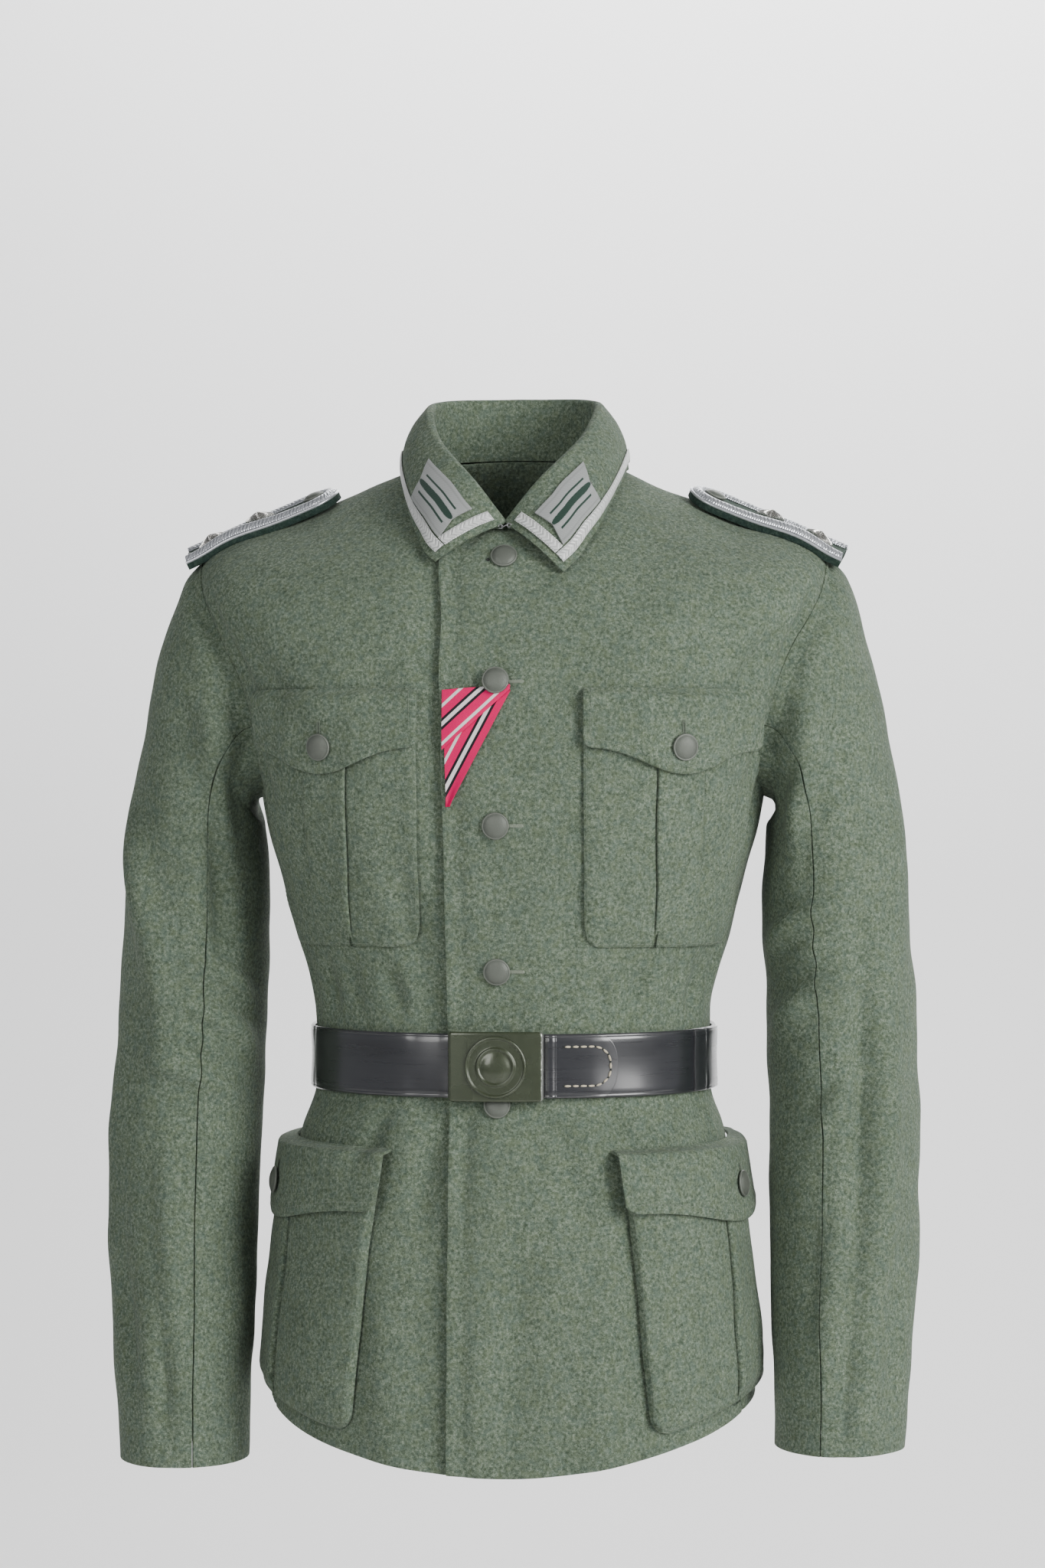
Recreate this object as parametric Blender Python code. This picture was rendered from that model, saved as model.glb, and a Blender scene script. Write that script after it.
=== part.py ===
# Military field tunic, worn closed with its belt: every cut and sewn piece as its own solid.
# Metres, +Z up. The tunic faces -Y, and the wearer's left side is +X.
# The origin is on the wearer's axis, level with the point where neck meets shoulder.

import math
from collections import namedtuple

import bmesh
import bpy
from mathutils import Vector
from mathutils.bvhtree import BVHTree

for old in list(bpy.data.objects):
    bpy.data.objects.remove(old, do_unlink=True)

# Driving dimensions
WALL = 0.0022
SEAM = 0.0003
LAY = 0.0007
BELT_WIDTH = 0.045
BELT_THICK = 0.003
BELT_HEIGHT = -0.427
BUTTON_RADIUS = 0.0095
BUTTON_THICK = 0.0042
BRAID_WIDTH = 0.008
BRAID_THICK = 0.0010

# The body's rings from hem to neck: heights and depths at front, side and back
Ring = namedtuple("Ring", "z_front z_side z_back half_width y_front y_side y_back squareness")
RINGS = (
    Ring(-0.709, -0.672, -0.692, 0.1765, -0.150, 0.000, 0.140, 2.30),
    Ring(-0.620, -0.604, -0.612, 0.1685, -0.143, 0.000, 0.134, 2.30),
    Ring(-0.540, -0.534, -0.538, 0.1610, -0.134, 0.000, 0.127, 2.30),
    Ring(-0.482, -0.482, -0.482, 0.1545, -0.126, 0.000, 0.119, 2.30),
    Ring(-0.450, -0.450, -0.450, 0.1440, -0.1165, 0.000, 0.1095, 2.25),
    Ring(-0.404, -0.404, -0.404, 0.1438, -0.1163, 0.000, 0.1093, 2.25),
    Ring(-0.370, -0.370, -0.370, 0.1495, -0.120, 0.000, 0.113, 2.25),
    Ring(-0.315, -0.315, -0.315, 0.1645, -0.128, 0.000, 0.122, 2.30),
    Ring(-0.260, -0.260, -0.260, 0.1790, -0.134, 0.000, 0.128, 2.40),
    Ring(-0.212, -0.215, -0.215, 0.1880, -0.136, 0.000, 0.131, 2.50),
    Ring(-0.164, -0.142, -0.164, 0.2080, -0.131, 0.002, 0.126, 2.60),
    Ring(-0.114, -0.064, -0.106, 0.2290, -0.118, 0.005, 0.116, 2.50),
    Ring(-0.081, -0.030, -0.048, 0.1500, -0.102, 0.010, 0.098, 2.25),
    Ring(-0.050, 0.004, 0.012, 0.0700, -0.080, 0.012, 0.062, 2.05),
)
TOP = len(RINGS) - 1

# The armhole is an oval in angle and ring height on the body's surface
ARM_MIDDLE = 9.8
ARM_REACH = 1.2
ARM_ANGLE = math.radians(26)
ARM_STEP = 18
SEAM_TURN = 126
SEAM_ROWS = 11

# Soft folds of the body: angle from centre front, height, lean, length, width, depth
Fold = namedtuple("Fold", "angle z lean length width depth")
BODY_FOLDS = (
    Fold(62, -0.125, 20, 0.050, 0.009, -0.0030),
    Fold(50, -0.150, 28, 0.060, 0.012, -0.0022),
    Fold(-60, -0.130, -22, 0.055, 0.009, -0.0030),
    Fold(-47, -0.155, -30, 0.060, 0.012, -0.0022),
    Fold(38, -0.376, 12, 0.032, 0.012, -0.0028),
    Fold(62, -0.376, -6, 0.032, 0.013, -0.0032),
    Fold(-30, -0.376, -10, 0.032, 0.011, -0.0026),
    Fold(-55, -0.376, 8, 0.032, 0.013, -0.0032),
    Fold(88, -0.376, 4, 0.032, 0.014, -0.0034),
    Fold(-86, -0.376, -4, 0.032, 0.014, -0.0034),
    Fold(18, -0.500, -14, 0.080, 0.012, -0.0026),
    Fold(-20, -0.510, 12, 0.080, 0.012, -0.0026),
    Fold(24, -0.650, 4, 0.120, 0.014, 0.0030),
    Fold(-27, -0.650, -4, 0.110, 0.014, 0.0030),
    Fold(118, -0.600, 4, 0.170, 0.022, 0.0045),
    Fold(-120, -0.600, -4, 0.170, 0.022, 0.0045),
    Fold(142, -0.590, 2, 0.170, 0.020, -0.0045),
    Fold(-144, -0.590, -2, 0.170, 0.020, -0.0045),
    Fold(163, -0.610, 3, 0.170, 0.020, 0.0045),
    Fold(-166, -0.610, -3, 0.170, 0.020, 0.0045),
    Fold(140, -0.365, -8, 0.080, 0.014, -0.0034),
    Fold(-141, -0.370, 8, 0.080, 0.014, -0.0034),
    Fold(166, -0.372, -3, 0.070, 0.013, -0.0030),
    Fold(-168, -0.368, 3, 0.070, 0.013, -0.0030),
    Fold(122, -0.200, 24, 0.110, 0.015, -0.0035),
    Fold(-122, -0.200, -24, 0.110, 0.015, -0.0035),
)


def blend(start, end, share):
    return start + (end - start) * share


def ease(share):
    share = min(max(share, 0.0), 1.0)
    return share * share * (3 - 2 * share)


def smooth_row(table, place):
    # Catmull-Rom along a table's rows, with its ends carried on straight
    last = len(table) - 1
    place = min(max(place, 0.0), float(last))
    i = min(int(place), last - 1)
    t = place - i
    values = []
    for column in range(len(table[0])):
        b, c = table[i][column], table[i + 1][column]
        a = table[i - 1][column] if i > 0 else 2 * b - c
        d = table[i + 2][column] if i + 2 <= last else 2 * c - b
        values.append(b + 0.5 * t * (c - a + t * (2 * a - 5 * b + 4 * c - d + t * (3 * (b - c) + d - a))))
    return type(table[0])(*values)


# The body's surface
def ring_point(angle, v):
    ring = smooth_row(RINGS, v)
    s, c = math.sin(angle), math.cos(angle)
    reach = (abs(s) ** ring.squareness + abs(c) ** ring.squareness) ** (-1 / ring.squareness)
    depth = (ring.y_front if c > 0 else ring.y_back) - ring.y_side
    rise = (ring.z_front if c > 0 else ring.z_back) - ring.z_side
    drop = abs(c) ** blend(2.0, 1.35, ease((v - 9) / 2))
    return Vector((ring.half_width * reach * s, ring.y_side + depth * reach * abs(c), ring.z_side + rise * drop))


def bare_point(angle, v):
    # The rings' surface, eased over the shoulders where no seam holds it
    soft = 0.474 * abs(math.cos(angle)) ** 0.6 * ease((v - 9.2) / 1.2) * ease((12.95 - v) / 0.9)
    if soft < 0.001:
        return ring_point(angle, v)
    return (ring_point(angle, v - soft) + ring_point(angle, v + soft)) * 0.25 + ring_point(angle, v) * 0.5


def bare_normal(angle, v):
    step = 0.02
    low, high = max(v - step, 0.0), min(v + step, float(TOP))
    along = bare_point(angle + step, v) - bare_point(angle - step, v)
    up = bare_point(angle, high) - bare_point(angle, low)
    return along.cross(up).normalized()


def fold_height(folds, across_from, along_from):
    # Sum of soft troughs and ridges; the two calls give a fold's distance across and along it
    total = 0.0
    for fold in folds:
        side, up = across_from(fold), along_from(fold)
        lean = math.radians(fold.lean)
        across = side * math.cos(lean) - up * math.sin(lean)
        along = side * math.sin(lean) + up * math.cos(lean)
        if abs(along) < fold.length and abs(across) < 3 * fold.width:
            total += fold.depth * math.exp(-(across / fold.width) ** 2) * math.cos(math.pi * along / fold.length / 2) ** 2
    return total


def turn_between(angle, degrees):
    return (angle - math.radians(degrees) + math.pi) % (2 * math.pi) - math.pi


def body_point(angle, v, out=0.0):
    point = bare_point(angle, v)
    radius = math.hypot(point.x, point.y)
    lift = fold_height(BODY_FOLDS, lambda fold: turn_between(angle, fold.angle) * radius, lambda fold: point.z - fold.z)
    return point + bare_normal(angle, v) * (lift + out)


def angle_at(x, v):
    # Angle from centre front of the front point that lies x from the middle on ring v
    ring = smooth_row(RINGS, v)
    share = min(abs(x) / ring.half_width, 0.999)
    across = (1 - share ** ring.squareness) ** (1 / ring.squareness)
    return math.copysign(math.atan2(share, across), x)


def ring_at(z, angle_of):
    # Ring height v whose point, at the angle that angle_of gives for it, has the height z
    low, high = 0.0, float(TOP)
    for _ in range(22):
        v = (low + high) / 2
        if bare_point(angle_of(v), v).z < z:
            low = v
        else:
            high = v
    return (low + high) / 2


def front_spot(x, z):
    v = ring_at(z, lambda height: angle_at(x, height))
    return angle_at(x, v), v


def walk(v, start, distance):
    # Angle reached by walking a distance round ring v from a start angle
    step = math.radians(1.5) * (1 if distance > 0 else -1)
    angle, left, last = start, abs(distance), bare_point(start, v)
    while left > 0:
        point = bare_point(angle + step, v)
        length = (point - last).length
        share = min(left / length, 1.0)
        angle, left, last = angle + step * share, left - length, point
    return angle


# Building solids
def material(name, color, roughness, metallic=0.0):
    made = bpy.data.materials.new(name)
    made.use_nodes = True
    shader = made.node_tree.nodes["Principled BSDF"]
    shader.inputs["Base Color"].default_value = (*color, 1)
    shader.inputs["Roughness"].default_value = roughness
    shader.inputs["Metallic"].default_value = metallic
    return made


WOOL = material("field_grey_wool", (0.135, 0.165, 0.12), 0.95)
BRAID = material("silver_braid", (0.62, 0.62, 0.58), 0.5, 0.3)
DARK_CLOTH = material("dark_green_cloth", (0.03, 0.055, 0.045), 0.95)
PATCH_CLOTH = material("grey_patch", (0.3, 0.31, 0.29), 0.9)
BUTTON_METAL = material("grey_button", (0.25, 0.27, 0.22), 0.45, 0.6)
LEATHER = material("black_leather", (0.02, 0.02, 0.02), 0.4)
BUCKLE_METAL = material("olive_buckle", (0.12, 0.13, 0.08), 0.4, 0.7)
PIP_METAL = material("gilt_pip", (0.6, 0.55, 0.4), 0.35, 0.9)
RIBBON_CLOTH = material("ribbon", (0.35, 0.02, 0.04), 0.6)
STEEL = material("hook_steel", (0.5, 0.5, 0.5), 0.35, 0.9)


def add_object(name, verts, faces, finish):
    mesh = bpy.data.meshes.new(name)
    mesh.from_pydata([tuple(v) for v in verts], [], faces)
    bm = bmesh.new()
    bm.from_mesh(mesh)
    bmesh.ops.recalc_face_normals(bm, faces=bm.faces)
    if bm.calc_volume(signed=True) < 0:
        bmesh.ops.reverse_faces(bm, faces=bm.faces)
    bm.to_mesh(mesh)
    bm.free()
    mesh.shade_smooth()
    mesh.set_sharp_from_angle(angle=math.radians(40))
    mesh.materials.append(finish)
    made = bpy.data.objects.new(name, mesh)
    bpy.context.collection.objects.link(made)
    return made


def slab(name, outer, inner, finish, ring=False):
    # Closed wall between two grids of points; ring joins the last column to the first
    rows, columns = len(outer), len(outer[0])
    verts = [p for row in outer for p in row] + [p for row in inner for p in row]
    under = rows * columns

    def at(row, column):
        return row * columns + column % columns

    faces = []
    spans = columns if ring else columns - 1
    for r in range(rows - 1):
        for c in range(spans):
            quad = (at(r, c), at(r, c + 1), at(r + 1, c + 1), at(r + 1, c))
            faces.append(quad)
            faces.append(tuple(under + k for k in reversed(quad)))
    for c in range(spans):
        for r in (0, rows - 1):
            a, b = at(r, c), at(r, c + 1)
            faces.append((a, under + a, under + b, b) if r == 0 else (a, b, under + b, under + a))
    if not ring:
        for r in range(rows - 1):
            for c in (0, columns - 1):
                a, b = at(r, c), at(r + 1, c)
                faces.append((a, b, under + b, under + a) if c == 0 else (a, under + a, under + b, b))
    return add_object(name, verts, faces, finish)


def grid_normals(grid, ring=False):
    rows, columns = len(grid), len(grid[0])
    normals = []
    for r in range(rows):
        line = []
        for c in range(columns):
            before = grid[r][c - 1] if ring or c > 0 else grid[r][c]
            after = grid[r][(c + 1) % columns] if ring or c < columns - 1 else grid[r][c]
            below, above = grid[max(r - 1, 0)][c], grid[min(r + 1, rows - 1)][c]
            line.append((after - before).cross(above - below).normalized())
        normals.append(line)
    return normals


def shifted(grid, normals, distance):
    return [[p + n * distance for p, n in zip(row, line)] for row, line in zip(grid, normals)]


SKIN_VERTS, SKIN_FACES = [], []


def remember_skin(grid):
    # The body's outer facets, which every piece laid on the body keeps clear of
    base, columns = len(SKIN_VERTS), len(grid[0])
    SKIN_VERTS.extend(p.copy() for row in grid for p in row)
    for r in range(len(grid) - 1):
        for c in range(columns - 1):
            a = base + r * columns + c
            SKIN_FACES.append((a, a + 1, a + columns + 1))
            SKIN_FACES.append((a, a + columns + 1, a + columns))


def lifted(tree, point, gap):
    # Moves a point out until it stands a gap clear of the facets in the tree
    spot, normal, _, _ = tree.find_nearest(point)
    height = (point - spot).dot(normal)
    return point + normal * max(gap - height, 0.0) if (point - spot).length < 0.02 else point


# Fronts, back and side panels
def arm_turn(degrees):
    turn = math.radians(degrees)
    return math.pi / 2 + ARM_ANGLE * math.sin(turn), ARM_MIDDLE + ARM_REACH * math.cos(turn)


SEAM_ANGLE_FRONT, SEAM_TOP = arm_turn(-SEAM_TURN)
SEAM_ANGLE_BACK = math.pi - SEAM_ANGLE_FRONT


def edge_rows():
    # Ring heights of a panel's rows, and the angle of its side edge from 90 degrees at each
    rows = [(SEAM_TOP * j / SEAM_ROWS, math.pi / 2 - SEAM_ANGLE_FRONT) for j in range(SEAM_ROWS)]
    for turn in range(-SEAM_TURN, 1, ARM_STEP):
        angle, v = arm_turn(turn)
        rows.append((v, math.pi / 2 - angle))
    rows += [(v, 0.0) for v in (11.2, 11.45, 11.75, 12.05, 12.35, 12.68, 13.0)]
    return rows


EDGE_ROWS = edge_rows()


def narrowed(v):
    # Widths near centre front draw in towards the neck ring
    return 1.0 - 0.5 * ease((v - 12.2) / 0.8)


def lap_edge(v):
    return -(0.036 + 0.011 * (v / TOP) ** 2)


def front_panel(side):
    # side 1 is the left front, which laps over; side -1 the right front, which runs beneath
    name = "front_left" if side > 0 else "front_right"
    sunk = 0.0 if side > 0 else WALL + 0.0009
    grid, inner = [], []
    for v, edge in EDGE_ROWS:
        first = lap_edge(v) if side > 0 else -0.030
        near = (first, -0.012, 0.012, 0.036, 0.062) if side > 0 else (first, 0.000, 0.030, 0.047, 0.058, 0.074)
        angles = [angle_at(x * narrowed(v), v) for x in near]
        end = math.pi / 2 - edge - SEAM / 0.24
        count = 8
        angles += [blend(angles[-1], end, k / count) for k in range(1, count + 1)]
        row, under = [], []
        for k, angle in enumerate(angles):
            x = near[k] if k < len(near) else 1.0
            depth = -sunk * (1 - ease((x - 0.047) / 0.022))
            row.append(body_point(side * angle, v, depth))
            under.append(body_point(side * angle, v, depth - WALL))
        grid.append(row if side > 0 else row[::-1])
        inner.append(under if side > 0 else under[::-1])
    remember_skin(grid)
    slab(name, grid, inner, WOOL)


def back_panel():
    columns = 16
    grid, inner = [], []
    for v, edge in EDGE_ROWS:
        start = math.pi / 2 + edge + SEAM / 0.24
        angles = [blend(start, 2 * math.pi - start, k / columns) for k in range(columns + 1)]
        grid.append([body_point(angle, v) for angle in angles])
        inner.append([body_point(angle, v, -WALL) for angle in angles])
    remember_skin(grid)
    slab("back", grid, inner, WOOL)


def side_panel(side):
    turns = range(-SEAM_TURN, -360 + SEAM_TURN - 1, -ARM_STEP)
    inset = SEAM / 0.24
    grid, inner = [], []
    for j in range(SEAM_ROWS + 1):
        row, under = [], []
        for turn in turns:
            angle, top = arm_turn(turn)
            angle += inset * (1 if turn == -SEAM_TURN else -1 if turn == -360 + SEAM_TURN else 0)
            row.append(body_point(side * angle, top * j / SEAM_ROWS))
            under.append(body_point(side * angle, top * j / SEAM_ROWS, -WALL))
        grid.append(row if side > 0 else row[::-1])
        inner.append(under if side > 0 else under[::-1])
    remember_skin(grid)
    slab("side_left" if side > 0 else "side_right", grid, inner, WOOL)


front_panel(1)
front_panel(-1)
back_panel()
side_panel(1)
side_panel(-1)
SKIN = BVHTree.FromPolygons(SKIN_VERTS, SKIN_FACES)


# Sleeves: where each section's inner and outer edge stand from the front, its middle and depth
Section = namedtuple("Section", "x_inner z_inner x_outer z_outer y_middle half_depth")
SECTIONS = (
    Section(0.1810, -0.236, 0.2290, -0.062, 0.004, 0.066),
    Section(0.1850, -0.243, 0.2445, -0.080, 0.005, 0.068),
    Section(0.1875, -0.251, 0.2570, -0.122, 0.007, 0.068),
    Section(0.1875, -0.262, 0.2670, -0.172, 0.008, 0.068),
    Section(0.1860, -0.280, 0.2770, -0.230, 0.009, 0.067),
    Section(0.1840, -0.305, 0.2840, -0.285, 0.010, 0.066),
    Section(0.1840, -0.340, 0.2875, -0.335, 0.012, 0.065),
    Section(0.1860, -0.375, 0.2905, -0.380, 0.012, 0.064),
    Section(0.1870, -0.420, 0.2925, -0.425, 0.009, 0.063),
    Section(0.1890, -0.470, 0.2935, -0.470, 0.002, 0.061),
    Section(0.1895, -0.520, 0.2935, -0.520, -0.007, 0.059),
    Section(0.1895, -0.570, 0.2930, -0.570, -0.016, 0.057),
    Section(0.1900, -0.620, 0.2890, -0.620, -0.026, 0.054),
    Section(0.1920, -0.665, 0.2850, -0.665, -0.033, 0.052),
    Section(0.1930, -0.710, 0.2810, -0.710, -0.038, 0.050),
)
SLEEVE_END = len(SECTIONS) - 1
SLEEVE_DROP = {1: 0.007, -1: -0.007}
SLEEVE_SPLIT = 108

# Folds round a sleeve: angle is the turn from its top, towards the back
SLEEVE_FOLDS = {
    1: (
        Fold(-78, -0.470, 3, 0.250, 0.010, 0.0035),
        Fold(-60, -0.480, 3, 0.220, 0.014, -0.0030),
        Fold(-125, -0.330, 60, 0.060, 0.010, -0.0045),
        Fold(-110, -0.375, 66, 0.060, 0.010, -0.0040),
        Fold(-90, -0.165, 24, 0.080, 0.013, -0.0035),
        Fold(100, -0.380, -50, 0.070, 0.012, -0.0045),
        Fold(70, -0.300, 20, 0.120, 0.015, -0.0035),
        Fold(60, -0.560, 8, 0.120, 0.014, 0.0030),
    ),
    -1: (
        Fold(-60, -0.330, 18, 0.140, 0.014, -0.0050),
        Fold(-118, -0.300, 4, 0.110, 0.011, 0.0045),
        Fold(-122, -0.400, 60, 0.060, 0.010, -0.0045),
        Fold(-105, -0.440, 66, 0.060, 0.010, -0.0040),
        Fold(-45, -0.600, 6, 0.110, 0.015, 0.0035),
        Fold(-88, -0.160, 24, 0.080, 0.013, -0.0035),
        Fold(100, -0.390, -50, 0.070, 0.012, -0.0045),
        Fold(65, -0.300, 16, 0.120, 0.015, -0.0035),
    ),
}


def sleeve_oval(side, turn, place):
    # Point of a sleeve's section: turn 0 at the top or outer edge, 90 at the back
    section = smooth_row(SECTIONS, place)
    middle_x = (section.x_inner + section.x_outer) / 2
    middle_z = (section.z_inner + section.z_outer) / 2
    drop = SLEEVE_DROP[side] * ease((place - 4) / 8)
    c, s = math.cos(turn), math.sin(turn)
    oval = Vector((
        (section.x_outer - section.x_inner) / 2 * c,
        section.half_depth * s,
        (section.z_outer - section.z_inner) / 2 * c,
    ))
    middle = Vector((middle_x, section.y_middle, middle_z + drop))
    share = ease(place / 3.0)
    if share < 1:
        loop = bare_point(*arm_turn(math.degrees(turn)))
        first = SECTIONS[0]
        start = Vector(((first.x_inner + first.x_outer) / 2, first.y_middle, (first.z_inner + first.z_outer) / 2))
        oval = (loop - start).lerp(oval, share)
        under = ease((1 - c) / 1.2)
        middle.x += 0.0006 * (1 - share) + 0.0050 * under * min(place / 0.3, 1.0) * (1 - share)
    point = middle + oval
    return Vector((side * point.x, point.y, point.z))


def sleeve_point(side, turn, place, out=0.0):
    step = 0.03
    point = sleeve_oval(side, turn, place)
    low, high = max(place - step, 0.0), min(place + step, float(SLEEVE_END))
    around = sleeve_oval(side, turn + step, place) - sleeve_oval(side, turn - step, place)
    down = sleeve_oval(side, turn, high) - sleeve_oval(side, turn, low)
    normal = around.cross(down).normalized() * side
    radius = 0.055
    fade = ease(place / 1.5)
    lift = fold_height(
        SLEEVE_FOLDS[side],
        lambda fold: turn_between(turn, fold.angle) * radius,
        lambda fold: point.z - fold.z,
    )
    return point + normal * (lift * fade + out)


SLEEVE_PLACES = [0, 0.3, 1, 2, 3, 4, 5, 6, 6.8, 7.6, 8.5, 9.5, 11, 12.5, 14]


def sleeve(side):
    word = "left" if side > 0 else "right"
    gap = SEAM / 0.11
    halves = (
        ("top", [-SLEEVE_SPLIT + ARM_STEP * k for k in range(13)]),
        ("under", [SLEEVE_SPLIT + ARM_STEP * k for k in range(9)]),
    )
    for half, degrees in halves:
        turns = [math.radians(d) for d in degrees]
        turns[0] += gap
        turns[-1] -= gap
        outer = [[sleeve_point(side, t, p) for t in turns] for p in SLEEVE_PLACES]
        inner = [[sleeve_point(side, t, p, -WALL) for t in turns] for p in SLEEVE_PLACES]
        slab(f"sleeve_{word}_{half}", outer, inner, WOOL)


sleeve(1)
sleeve(-1)


def cuff_band(side, name, middle_z, width=0.0092):
    # A braid laid round both halves of the sleeve at one height
    def place_of(z):
        low, high = 8.0, float(SLEEVE_END)
        for _ in range(20):
            place = (low + high) / 2
            if sleeve_oval(side, 0.0, place).z > z:
                low = place
            else:
                high = place
        return (low + high) / 2

    def facet_point(turn, place, out):
        # On the sleeve's own facets, between two of its rows
        r = max(k for k in range(len(SLEEVE_PLACES) - 1) if SLEEVE_PLACES[k] <= place)
        above, below = SLEEVE_PLACES[r], SLEEVE_PLACES[r + 1]
        share = (place - above) / (below - above)
        return sleeve_point(side, turn, above, out).lerp(sleeve_point(side, turn, below, out), share)

    places = [place_of(middle_z + width * share) for share in (0.5, -0.5)]
    turns = [math.radians(ARM_STEP * k) for k in range(20)]
    outer = [[facet_point(t, p, LAY + BRAID_THICK) for t in turns] for p in places]
    inner = [[facet_point(t, p, LAY) for t in turns] for p in places]
    slab(name, outer, inner, BRAID, ring=True)


for side, word in ((1, "left"), (-1, "right")):
    for number, height in enumerate((-0.5155, -0.5305), 1):
        cuff_band(side, f"cuff_band_{word}_{number}", height)


# Collar: one cloth folded over at the roll line, from the hook on the left round to the right
Station = namedtuple("Station", "angle roll_z edge_angle edge_v")


def collar_stations():
    front = (
        (1.2, -0.043, 0.0480, -0.0750),
        (16, -0.022, 0.0555, -0.0675),
        (28, -0.008, 0.0605, -0.0575),
        (45, 0.008, 0.0660, -0.0460),
        (61, 0.022, 0.0715, -0.0320),
        (75, 0.036, 0.0770, -0.0165),
    )
    round_back = (
        (90, 0.047, 90, 12.86),
        (120, 0.054, 122, 12.80),
        (150, 0.057, 151, 12.72),
        (180, 0.058, 180, 12.65),
    )
    rows = [Station(math.radians(a), z, *front_spot(x, edge_z)) for a, z, x, edge_z in front]
    rows += [Station(math.radians(a), z, math.radians(edge), v) for a, z, edge, v in round_back]
    return rows


STATIONS = collar_stations()
COLLAR_STEPS = 18
COLLAR_COLUMNS = 2 * COLLAR_STEPS
FALL_ROWS = (0.0, 0.3, 0.65, 1.0)
FALL_FIRST = 4


def collar_column(place):
    # Section of the collar at a place from 0, the left end, to 1 at the middle of the back
    station = smooth_row(STATIONS, place * (len(STATIONS) - 1))
    s, c = math.sin(station.angle), math.cos(station.angle)
    base = bare_point(station.angle, TOP) + Vector((0, 0, 0.0006))
    roll = Vector((0.063 * s, 0.010 - 0.090 * c if c > 0 else 0.010 + 0.055 * abs(c), station.roll_z))
    outward = Vector((s, -c, 0)).normalized()
    base -= outward * 0.0006
    height = roll.z - base.z
    turn_in = roll - outward * 0.003 - Vector((0, 0, 0.003))
    turn_out = roll + outward * 0.0035 - Vector((0, 0, 0.003))
    edge = body_point(station.edge_angle, station.edge_v, 0.0026)
    column = [base, base.lerp(turn_in, 0.5) - outward * 0.02 * height, turn_in, roll]
    for share in FALL_ROWS:
        point = turn_out.lerp(edge, share)
        point += (outward * 0.8 + Vector((0, 0, 0.4))) * 0.0055 * math.sin(math.pi * share)
        column.append(lifted(SKIN, point, 0.0022 if share > 0 else 0.0018))
    return column


def collar_grid():
    left = [collar_column(k / COLLAR_STEPS) for k in range(COLLAR_STEPS + 1)]
    right = [[Vector((-p.x, p.y, p.z)) for p in column] for column in reversed(left[:-1])]
    for k, column in enumerate(right):
        right[k] = column[:FALL_FIRST] + [lifted(SKIN, p, 0.0022) for p in column[FALL_FIRST:]]
    columns = left + right
    return [[column[r] for column in columns] for r in range(len(columns[0]))]


COLLAR = collar_grid()
COLLAR_NORMALS = [[-n for n in line] for line in grid_normals(COLLAR)]
slab("collar", shifted(COLLAR, COLLAR_NORMALS, WALL / 2), shifted(COLLAR, COLLAR_NORMALS, -WALL / 2), WOOL)


def fall_point(place, share, out=0.0):
    # Point on the fall's outer face: place 0 to 1 round the collar, share 0 at the roll, 1 at the edge
    column = min(max(place, 0.0), 1.0) * COLLAR_COLUMNS
    c = min(int(column), COLLAR_COLUMNS - 1)
    rows = list(FALL_ROWS)
    share = min(max(share, 0.0), 1.0)
    r = max(k for k in range(len(rows) - 1) if rows[k] <= share)
    up = (share - rows[r]) / (rows[r + 1] - rows[r])
    r += FALL_FIRST

    def mixed(grid):
        near = grid[r][c].lerp(grid[r + 1][c], up)
        far = grid[r][c + 1].lerp(grid[r + 1][c + 1], up)
        return near.lerp(far, column - c)

    return mixed(COLLAR) + mixed(COLLAR_NORMALS).normalized() * (WALL / 2 + out)


def fall_share(place, distance):
    # Share of the fall that lies a distance above its edge
    return 1 - distance / (fall_point(place, 1.0) - fall_point(place, 0.0)).length


def fall_place(share, distance):
    # Place on the left half that lies a distance behind the collar's front edge
    place, left = 0.0, distance
    step = 0.25 / COLLAR_COLUMNS
    while left > 0:
        length = (fall_point(place + step, share) - fall_point(place, share)).length
        place += step * min(left / length, 1.0)
        left -= length
    return place


BRAID_INSET = 0.005


def collar_trim():
    low, high = BRAID_INSET, BRAID_INSET + BRAID_WIDTH
    start = fall_place(0.9, BRAID_INSET)
    places = [start] + [k / COLLAR_COLUMNS for k in range(1, COLLAR_COLUMNS)] + [1 - start]
    grids = []
    for out in (LAY + BRAID_THICK, LAY):
        grids.append([[fall_point(p, fall_share(p, edge), out) for p in places] for edge in (low, high)])
    slab("collar_braid_edge", *grids, BRAID)
    top_share = 0.10
    end_share = fall_share(0.02, high + 0.0006)
    shares = [blend(top_share, end_share, k / 6) for k in range(7)]
    for side, word in ((1, "left"), (-1, "right")):
        grids = []
        for out in (LAY + BRAID_THICK, LAY):
            grid = []
            for share in shares:
                row = [fall_place(share, edge) for edge in (low, high)]
                grid.append([fall_point(p if side > 0 else 1 - p, share, out) for p in row])
            grids.append(grid)
        slab(f"collar_braid_{word}", *grids, BRAID)


def collar_patch(side):
    first, last = fall_place(0.5, 0.0170), fall_place(0.5, 0.067)
    inside = [k / COLLAR_COLUMNS for k in range(COLLAR_STEPS) if first + 0.004 < k / COLLAR_COLUMNS < last - 0.004]
    grids = []
    for out in (LAY + 0.0016, LAY):
        columns = []
        for place in [first] + inside + [last]:
            low, high = fall_share(place, 0.0148), fall_share(place, 0.042)
            shares = [low] + [share for share in reversed(FALL_ROWS[1:-1])] + [min(high, 0.26)]
            columns.append([fall_point(place if side > 0 else 1 - place, share, out) for share in shares])
        grids.append([[column[r] for column in columns] for r in range(len(columns[0]))])
    slab("collar_patch_left" if side > 0 else "collar_patch_right", *grids, PATCH_CLOTH)


collar_trim()
collar_patch(1)
collar_patch(-1)


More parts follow.
